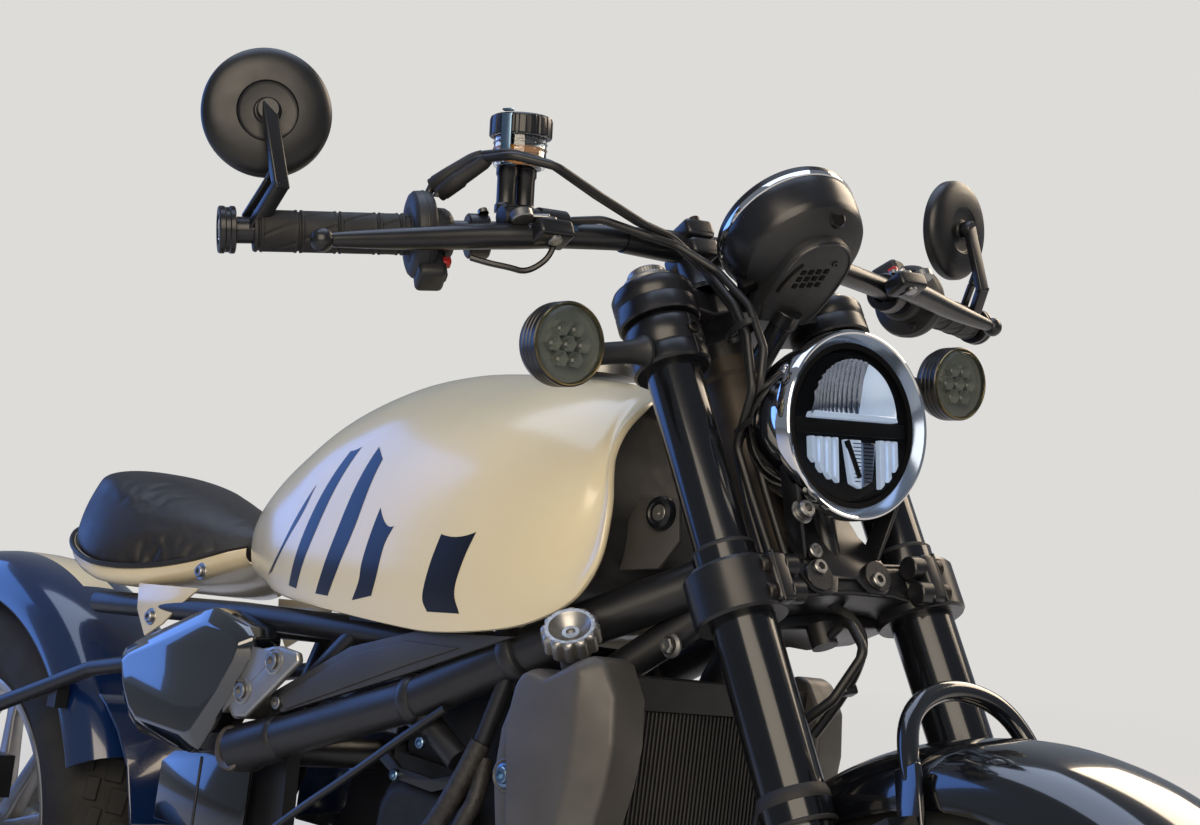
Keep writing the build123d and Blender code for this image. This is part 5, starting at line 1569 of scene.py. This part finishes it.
def makeTyre(name, facts, shared):
    place = outward(1)
    radius, half, crown, rim = facts["radius"], facts["half"], shared["crown"], shared["rim"]
    shape = bmesh.new()
    add(shape, turned(tyreOutline(radius, half, crown, rim, shared["depth"]), 160), place)
    centre = radius - crown
    rows = [(-0.66, 0.20, 0.5), (-0.36, 0.26, 0.0), (0.0, 0.26, 0.5), (0.36, 0.26, 0.0), (0.66, 0.20, 0.5)]
    for across, wide, stagger in rows:                        # staggered blocks, their edges softened
        y = across * half
        lean = math.asin(y / crown)
        reach = centre + math.sqrt(crown ** 2 - y ** 2)
        pitch = math.tau / facts["blocks"]
        for index in range(facts["blocks"]):
            turn = (index + stagger) * pitch
            block = softBox((reach * pitch * 0.76, wide * half * 1.0, shared["depth"] + 1.6), 0.9, 1)
            spot = about("Y", turn) @ shift(0, y, reach - (shared["depth"] + 1.6) / 2) @ \
                about("X", -lean) @ about("Z", 0.3 * (1 if across > 0 else -1) if across else 0.42)
            add(shape, block, spot)
    makePiece(name + "TyreTread", shape, facts["body"], "tyreRubber", stands=facts["node"],
              sharp=30)


for end in ("front", "rear"):
    makeTyre(end, treadFacts[end], treadFacts)
print("tyres made")


# Steering head details: lock barrel, flange nut, hoses with their clip and banjo
headFacts = {
    "lock": (378, 792, 70), "lockPlate": [(350, 806), (394, 806), (400, 770), (380, 745), (318, 738), (334, 776)],
    "tube": [(29.2, 498), (34, 498), (34.6, 500), (34.6, 514), (32, 518), (31.6, 690), (34, 694), (34, 708),
             (29.2, 710)],
    "nut": (404, 682, 62),
    "hose": [(10, -22, 478), (-6, 6, 470), (2, 22, 452), (2, 22, 428), (-32, 20, 402), (-78, 16, 384)],
    "clip": (-30, 20, 404), "banjo": (-52, 20, 466), "radius": 4.2,
    "ties": [(54, -61, 690), (30, -60, 612)],
}


def makeHead(facts):
    silver, black = newShapes(2)
    x, z, y = facts["lock"]
    # the plate's bronze-grey face is partly painted light: a lighter finish than the grey panels, standing in for
    # light that the tank's lip shades from it
    plate = cutPlate(facts["lockPlate"], 5)
    add(black, softened(plate, 1.4, 2, 30), sideways(-1, y - 10), material=1)
    spot = sideways(-1, y - 5, x, z)
    add(black, turned([(8.4, 0), (8.4, 7), (10, 8), (13.6, 6.4), (15, 3), (15, -2)], 40), spot)
    add(silver, turned([(0, 3), (2, 3), (2, 6), (6.6, 6), (8, 4.6), (8.2, 0)], 32), spot)
    x, z, y = facts["nut"]
    spot = sideways(-1, y, x, z)
    add(silver, turned([(0, 0), (10.4, 0), (10.8, 0.8), (10.4, 2.2), (7.4, 3.6), (7.4, 4)], 40), spot)
    add(silver, turned([(0, 3), (7, 3), (7, 8.6), (6, 9.6), (3.6, 9.6), (3.2, 8), (0, 8)], 6), spot)
    makePiece("lockPlate", black, "chassis", "satinBlackPaint bronzeGreyAbs",
              stands="key_lock", sharp=30)
    tube = turned(facts["tube"], 64)
    bmesh.ops.translate(tube, vec=(clampFacts["offset"], 0, 0), verts=tube.verts)
    makePiece("headTubeCasting", tube, "chassis", "bronzeCastSteel", sharp=30,
              where=forkPlace)
    # the barrel and nut in pale cast silver are partly painted light, lighter to make up for the tank lip's shade
    # over them
    makePiece("lockBarrel", silver, "chassis", "castSilverAluminium", sharp=30)

    hose, metal = newShapes(2)
    add(hose, bentRod(facts["hose"], facts["radius"], sides=14))
    for spot in facts["ties"]:
        band = turned([(13.5, -3), (14.6, -2.4), (14.6, 2.4), (13.5, 3)], 24)
        add(hose, band, Matrix.Translation(spot) @ Matrix.Diagonal((1.2, 0.62, 1, 1)))
    clip = softBox((11, 15, 9), 2.4, 3)
    add(metal, clip, Matrix.Translation(facts["clip"]))
    add(metal, turned([(0, 0), (8.6, 0), (9, 0.6), (9, 9), (8.4, 10), (6, 10), (6, 14), (5.4, 15), (0, 15)], 28),
        forward(*facts["banjo"]), material=1)
    makePiece("lowerHose", hose, "steering", "hoseRubber")
    makePiece("hoseFittings", metal, "steering", "satinBlackPaint brassTintPlate")


makeHead(headFacts)
print("steering head details made")


# Fenders: a smooth section swept about each axle, rolled at its edge
fenderFacts = {
    "front": {"radius": 332, "half": 70, "drop": 46, "start": -8, "sweep": 128, "stripe": 0},
    "rear": {"radius": 361, "half": 86, "drop": 54, "start": 24, "sweep": 143, "stripe": 30},
    "section": [(0, 0), (0.25, 0.01), (0.45, 0.045), (0.62, 0.11), (0.77, 0.23), (0.89, 0.43), (0.97, 0.7), (1, 1)],
    "brace": [(96, -68, 286), (96, -66, 312), (96, -46, 345), (96, 0, 359), (96, 46, 345), (96, 66, 312),
              (96, 68, 286)],
    "flap": [(-434, 537), (-418, 528), (-385, 502), (-355, 466), (-333, 406)],
}


def sweptSection(facts, shared):
    # Y across, X ahead, Z up; the section is carried round the axle
    wide = 2.6
    outer = [(share * facts["half"], facts["radius"] - drop * facts["drop"]) for share, drop in shared["section"]]
    lip = [(facts["half"] - 0.4, facts["radius"] - facts["drop"] - 2.2),
           (facts["half"] - wide, facts["radius"] - facts["drop"])]
    inner = [(max(0, y - wide * min(1, y / 40)), r - wide) for y, r in reversed(outer[:-1])]
    halfLoop = outer + lip + inner
    loop = [(-y, r) for y, r in reversed(halfLoop) if y > 0.01] + [(y, r) for y, r in halfLoop]
    shape = bmesh.new()
    start = math.radians(facts["start"])
    ring = [shape.verts.new((r * math.cos(start), y, r * math.sin(start))) for y, r in loop]
    face = shape.faces.new(ring)
    bmesh.ops.spin(shape, geom=[face] + face.edges[:] + ring, axis=(0, -1, 0), cent=(0, 0, 0),
                   angle=math.radians(facts["sweep"]), steps=72, use_merge=False)
    merged(shape)
    for each in shape.faces:
        middle = each.calc_center_median()
        out = math.hypot(middle.x, middle.z) > facts["radius"] - 6
        each.material_index = 1 if out and abs(middle.y) < facts["stripe"] and middle.x < 150 else 0
    return shape


def makeFenders(facts):
    front = sweptSection(facts["front"], facts)
    makePiece("frontFender", front, "steering", "glossBlackEnamel", stands="front_fender",
              sharp=50)
    rear = sweptSection(facts["rear"], facts)
    makePiece("rearFender", rear, "chassis", "blueBlackPaint ivoryPaint",
              stands="rear_fender", sharp=50, where=rearPlace)

    brace, bolts = newShapes(2)
    add(brace, bentRod(facts["brace"], 8, sides=24))
    for side in (-1, 1):
        leg = beam((97, side * 70, 300), (92, side * 84, 240), (1, 0, 0), 26, 6, 2.2)
        add(brace, leg)
        add(bolts, socketBolt(6, 5), outward(side, 94, side * 84, 250))
    makePiece("forkBrace", brace, "steering", "glossBlackEnamel", stands="fork_brace",
              sharp=40)
    makePiece("braceBolts", bolts, "steering", "brushedSteel")

    flap = bmesh.new()
    sheet = cutPlate(facts["flap"] + [(x - 3, z - 2) for x, z in reversed(facts["flap"])], 150)
    add(flap, softened(sheet, 0.8, 1, 40), axes((0, 75, 0), (1, 0, 0), (0, 0, 1), (0, -1, 0)))
    makePiece("rearSkirt", flap, "chassis", "blueBlackPaint")


makeFenders(fenderFacts)
print("fenders made")


# Cast wheels: rim, ten broad spokes and a hub, turning about Y
wheelFacts = {
    "front": {"half": 46.8, "node": "front_wheel"},
    "rear": {"half": 54, "node": "rear_wheel"},
    "spoke": [(-15, 26), (15, 26), (12, 60), (9.5, 150), (15, 190), (-15, 190), (-9.5, 150), (-12, 60)],
    "hub": [(12, -52), (27, -52), (30, -50), (34, -46), (34, -34), (27, -24), (27, 24), (34, 34), (34, 46), (30, 50),
            (27, 52), (12, 52), (12, -52)],
}


def makeWheel(name, facts, shared):
    place = outward(1)
    b = facts["half"]
    rim = [(202.8, 0), (202.8, 5 - b), (206, 1 - b), (206.4, -b - 3), (204, -b - 4.6), (197, -b - 3), (192, 4 - b),
           (186, 14 - b), (183, 0)]
    loop = rim + [(r, -y) for r, y in reversed(rim[:-1])]
    shape = bmesh.new()
    add(shape, turned(loop, 144), place)
    add(shape, turned(shared["hub"], 56), place)
    for index in range(10):
        spoke = softened(cutPlate(shared["spoke"], 24), 4.2, 3, 30)
        for vert in spoke.verts:                               # thinner towards the rim
            vert.co.z = (vert.co.z - 12) * (1.15 - 0.0028 * vert.co.y)
        add(shape, spoke, about("Y", index * math.tau / 10) @ axes((0, 0, 0), (1, 0, 0), (0, 0, 1), (0, -1, 0)))
    valve = turned([(0, 0), (3.4, 0), (3.4, 14), (2.6, 15), (2.6, 26), (0, 26)], 16)
    add(shape, valve, about("Y", 0.3) @ aim((0, 0, 184), (0, 8, 150)), material=1)
    makePiece(name + "CastWheel", shape, facts["node"], "wheelSilver gripRubber",
              stands=facts["node"], sharp=36)


for end in ("front", "rear"):
    makeWheel(end, wheelFacts[end], wheelFacts)
print("wheels made")


# Lower machine: chain links, sprocket, engine covers, exhaust
lowerFacts = {
    "chainSide": 89, "front": (-18, 365, 41.5), "rear": (-742.5, 323, 103.5), "links": 120,
    "linkPlate": [(-12.2, 0), (-10.6, 3.8), (-8, 5), (-5, 4.2), (0, 3), (5, 4.2), (8, 5), (10.6, 3.8), (12.2, 0),
                  (10.6, -3.8), (8, -5), (5, -4.2), (0, -3), (-5, -4.2), (-8, -5), (-10.6, -3.8)],
    "sprocket": [(66, -3), (91, -3), (92, -2), (92, 2), (91, 3), (66, 3), (66, -3)], "teeth": 38,
    # middle, side of the machine, wall to the outer face, radius
    "covers": [((105, 335), -1, 82, 126, 82), ((175, 335), 1, 82, 124, 72), ((-18, 365), 1, 97, 112, 48)],
    "coverSection": [(2, 0), (0, 0.04), (0, 0.22), (2, 0.25), (9, 0.27), (11, 0.36), (14, 0.84), (19, 0.96), (24, 1),
                     (29, 1), (31, 0.95), (34, 0.95), (36, 1)],
    "header": [(278.8, 45, 500), (312, 45, 494), (330, 45, 478), (345, 45, 432), (346, 45, 300), (338, 45, 232),
               (318, 45, 202), (284, 45, 190), (60, 45, 184)],
    "link": [(-60, -60, 178), (-120, -73, 178), (-162, -98, 192), (-200, -150, 236), (-222, -176, 254),
             (-260, -182, 272)],
    "headerRadius": 19, "linkRadius": 22, "mufflerEnds": ((-235, -182, 268), (-640, -182, 330)), "bands": (24, 366),
    "muffler": [(0, 0), (30, 0), (46, 6), (51, 14), (52, 20), (52, 372), (50, 384), (44, 396), (36, 402), (34, 409),
                (27, 409), (26, 404), (26, 384), (0, 384)],
}


def chainLoop(facts):
    # evenly spaced points round both sprockets, with the run's direction at each
    (fx, fz, fr), (rx, rz, rr) = facts["front"], facts["rear"]
    lean = math.atan2(fz - rz, fx - rx)
    wrap = math.acos((rr - fr) / math.hypot(fx - rx, fz - rz))
    span = math.tau - 2 * wrap
    arcs = [(fx, fz, fr, lean + wrap - wrap * k / 12) for k in range(25)]
    arcs += [(rx, rz, rr, lean - wrap - span * k / 30) for k in range(31)]
    path = [(x + radius * math.cos(turn), z + radius * math.sin(turn)) for x, z, radius, turn in arcs]
    path.append(path[0])
    points = [Vector((x, facts["chainSide"], z)) for x, z in path]
    steps = [(b - a).length for a, b in zip(points, points[1:])]
    pitch = sum(steps) / facts["links"]
    spots, index, walked = [], 0, 0.0
    for number in range(facts["links"]):
        want = number * pitch
        while walked + steps[index] < want:
            walked += steps[index]
            index += 1
        spots.append(points[index].lerp(points[index + 1], (want - walked) / steps[index]))
    return spots


def makeLower(facts):
    chain = bmesh.new()
    spots = chainLoop(facts)
    for index, here in enumerate(spots):
        ahead = spots[(index + 1) % len(spots)]
        run, left = (ahead - here).normalized(), Vector((0, 1, 0))
        place = axes((here + ahead) / 2, run, left.cross(run), left)
        for side in (-1, 1):
            plate = cutPlate(facts["linkPlate"], 1.4)
            add(chain, plate, place @ shift(0, 0, side * (4.4 if index % 2 else 5.9) - 0.7))
        add(chain,
            turned([(0, -6.8), (2.6, -6.8), (2.6, -3.9), (4.3, -3.9), (4.3, 3.9), (2.6, 3.9), (2.6, 6.8), (0, 6.8)],
                   12),
            axes(here, run, left.cross(run), left))
    makePiece("chainLinks", chain, "chassis", "oiledChainSteel", stands="drive_chain")

    ring = bmesh.new()
    place = outward(1, 0, facts["chainSide"])
    add(ring, turned(facts["sprocket"], 96), place)
    for index in range(facts["teeth"]):
        tooth = cutPlate([(-4.4, 90), (4.4, 90), (1.6, 97), (-1.6, 97)], 5, 0.6)
        turn = place @ about("Z", index * math.tau / facts["teeth"])
        add(ring, tooth, turn @ shift(0, 0, -2.5))
    for index in range(5):
        turn = place @ about("Z", index * math.tau / 5)
        arm = softened(cutPlate([(-13, 32), (13, 32), (9, 52), (12, 70), (-12, 70), (-9, 52)], 6), 1.2, 2, 30)
        add(ring, arm, turn @ shift(0, 0, -3))
        add(ring, socketBolt(6, 6), turn @ shift(0, 44, 3))
    add(ring, turned([(11, -36), (37, -36), (38, -34), (38, 6), (36, 8), (11, 8), (11, -36)], 56), place)
    makePiece("rearSprocketRing", ring, "rear_wheel", "brushedSteel", stands="rear_sprocket")

    case, bolts = newShapes(2)
    for (x, z), side, low, high, radius in facts["covers"]:
        tall = high - low
        place = sideways(side, low, x, z)
        outline = [(radius - back, tall * share) for back, share in facts["coverSection"]]
        add(case, turned([(0, 0)] + outline + [(0, tall)], 72), place)
        for index in range(7):
            turn = about("Z", index * math.tau / 7 + 0.3)
            add(bolts, socketBolt(4.6, 5), place @ turn @ shift(radius - 5.6, 0, tall * 0.25))
    x, z = facts["front"][:2]                                  # the case round the front sprocket
    add(case, softBox((80, 15, 36), 3, 3), shift(x + 38, 104.5, z))
    add(case, softBox((70, 30, 36), 3, 3), shift(x + 84, 96, z))
    makePiece("engineCoverCastings", case, "chassis", "castGreyAluminium", stands="engine_covers", sharp=34)
    makePiece("engineCoverBolts", bolts, "chassis", "brushedSteel")

    pipes = bmesh.new()
    for side in (-1, 1):
        add(pipes, bentRod([mirrored(side) @ Vector(p) for p in facts["header"]], facts["headerRadius"], sides=28))
        flange = turned([(19, 0), (30, 0), (31, 1), (31, 8), (30, 9), (19, 9), (19, 0)], 36)
        add(pipes, flange, aim(*(mirrored(side) @ Vector(p) for p in facts["header"][:2])))
    add(pipes, softBox((138, 142, 60), 12, 4), shift(-8, 0, 183))
    add(pipes, bentRod(facts["link"], facts["linkRadius"], sides=28))
    low, high = facts["mufflerEnds"]
    add(pipes, turned(facts["muffler"], 64), aim(low, high), material=1)
    for share in facts["bands"]:                                    # clamping bands
        band = turned([(52, share), (53, share + 0.6), (53, share + 13.4), (52, share + 14)], 64)
        add(pipes, band, aim(low, high), material=2)
    makePiece("exhaustSystem", pipes, "chassis", "darkSteelSatin satinBlackPaint brushedSteel", stands="exhaust",
              sharp=36)


makeLower(lowerFacts)
print("lower machine made")


# Floor and light
stageFacts = {
    "floorRadius": 30.0, "lookedAt": (0.2, -0.1, 0.6),
    "floorColours": ("#d4d3d0", "#d9d8d5"),
    "backColour": "#dddcd9",
    "skyColour": "#b9c3d2", "skyStrength": 0.36,
    "softboxes": [
        # place around the bike, size in metres, watts, colour
        ((3.4, -3.6, 3.0), (4.4, 3.8), 240, "#ffeed6"),       # warm key from the right and ahead
        ((-5.2, -1.5, 2.3), (3.8, 3.6), 100, "#5f98ff"),      # blue sky to the right and behind
        ((0.8, 3.6, 2.8), (3.6, 1.6), 110, "#ffe9cc"),        # edge light from behind
        ((-0.4, 0.2, 4.2), (3.4, 3.0), 80, "#c6d6f4"),        # sky above
    ],
}


def seenByCamera(tree):
    # 1 for what the camera sees, straight or through glass
    path = addNode(tree, "ShaderNodeLightPath")
    rays = {0: path.outputs["Is Camera Ray"], 1: path.outputs["Is Transmission Ray"]}
    return addNode(tree, "ShaderNodeMath", {"operation": "MAXIMUM"}, rays).outputs[0]


def makeStage(facts):
    shape = bmesh.new()
    bmesh.ops.create_circle(shape, cap_ends=True, segments=96, radius=facts["floorRadius"])
    mesh = bpy.data.meshes.new("floor")
    shape.to_mesh(mesh)
    shape.free()
    floor = bpy.data.objects.new("floor", mesh)
    scene.collection.objects.link(floor)
    material, tree, finish, place = newMaterial("paleFloor", {"Roughness": 0.8})
    tintedColour(tree, finish, place, *facts["floorColours"], 900)
    # seen by the camera, the floor turns into the pale background away from the bike
    seen = seenByCamera(tree)
    away = addNode(tree, "ShaderNodeVectorMath", {"operation": "LENGTH"}, {0: place})
    fade = addNode(tree, "ShaderNodeMapRange", {"From Min": 0.9, "From Max": 3.6, "To Min": 0.3, "To Max": 1.0},
                   {"Value": away.outputs["Value"]})
    share = addNode(tree, "ShaderNodeMath", {"operation": "MULTIPLY"}, {0: seen, 1: fade.outputs[0]})
    glow = addNode(tree, "ShaderNodeEmission", {"Color": hexColour(facts["backColour"]), "Strength": 1.0})
    mixed = addNode(tree, "ShaderNodeMixShader", {}, {0: share.outputs[0], 1: finish.outputs[0], 2: glow.outputs[0]})
    tree.links.new(mixed.outputs[0], tree.nodes["Material Output"].inputs[0])
    floor.data.materials.append(material)

    world = bpy.data.worlds.new("world")
    scene.world = world
    world.use_nodes = True
    tree = world.node_tree
    tree.nodes.clear()
    seen = seenByCamera(tree)
    sky = addNode(tree, "ShaderNodeBackground",
                  {"Color": hexColour(facts["skyColour"]), "Strength": facts["skyStrength"]})
    back = addNode(tree, "ShaderNodeBackground", {"Color": hexColour(facts["backColour"]), "Strength": 1.0})
    mixed = addNode(tree, "ShaderNodeMixShader", {}, {0: seen, 1: sky.outputs[0], 2: back.outputs[0]})
    output = addNode(tree, "ShaderNodeOutputWorld")
    tree.links.new(mixed.outputs[0], output.inputs[0])

    for index, (spot, size, watts, colour) in enumerate(facts["softboxes"]):
        data = bpy.data.lights.new(f"softbox{index}", "AREA")
        data.shape = "RECTANGLE"
        data.size, data.size_y = size
        data.energy = watts
        data.color = hexColour(colour)[:3]
        lamp = bpy.data.objects.new(f"softbox{index}", data)
        lamp.location = spot
        aimed = Vector(facts["lookedAt"]) - Vector(spot)
        lamp.rotation_euler = aimed.to_track_quat("-Z", "Y").to_euler()
        scene.collection.objects.link(lamp)


makeStage(stageFacts)
scene.view_settings.view_transform = "Standard"
print("floor and light placed")
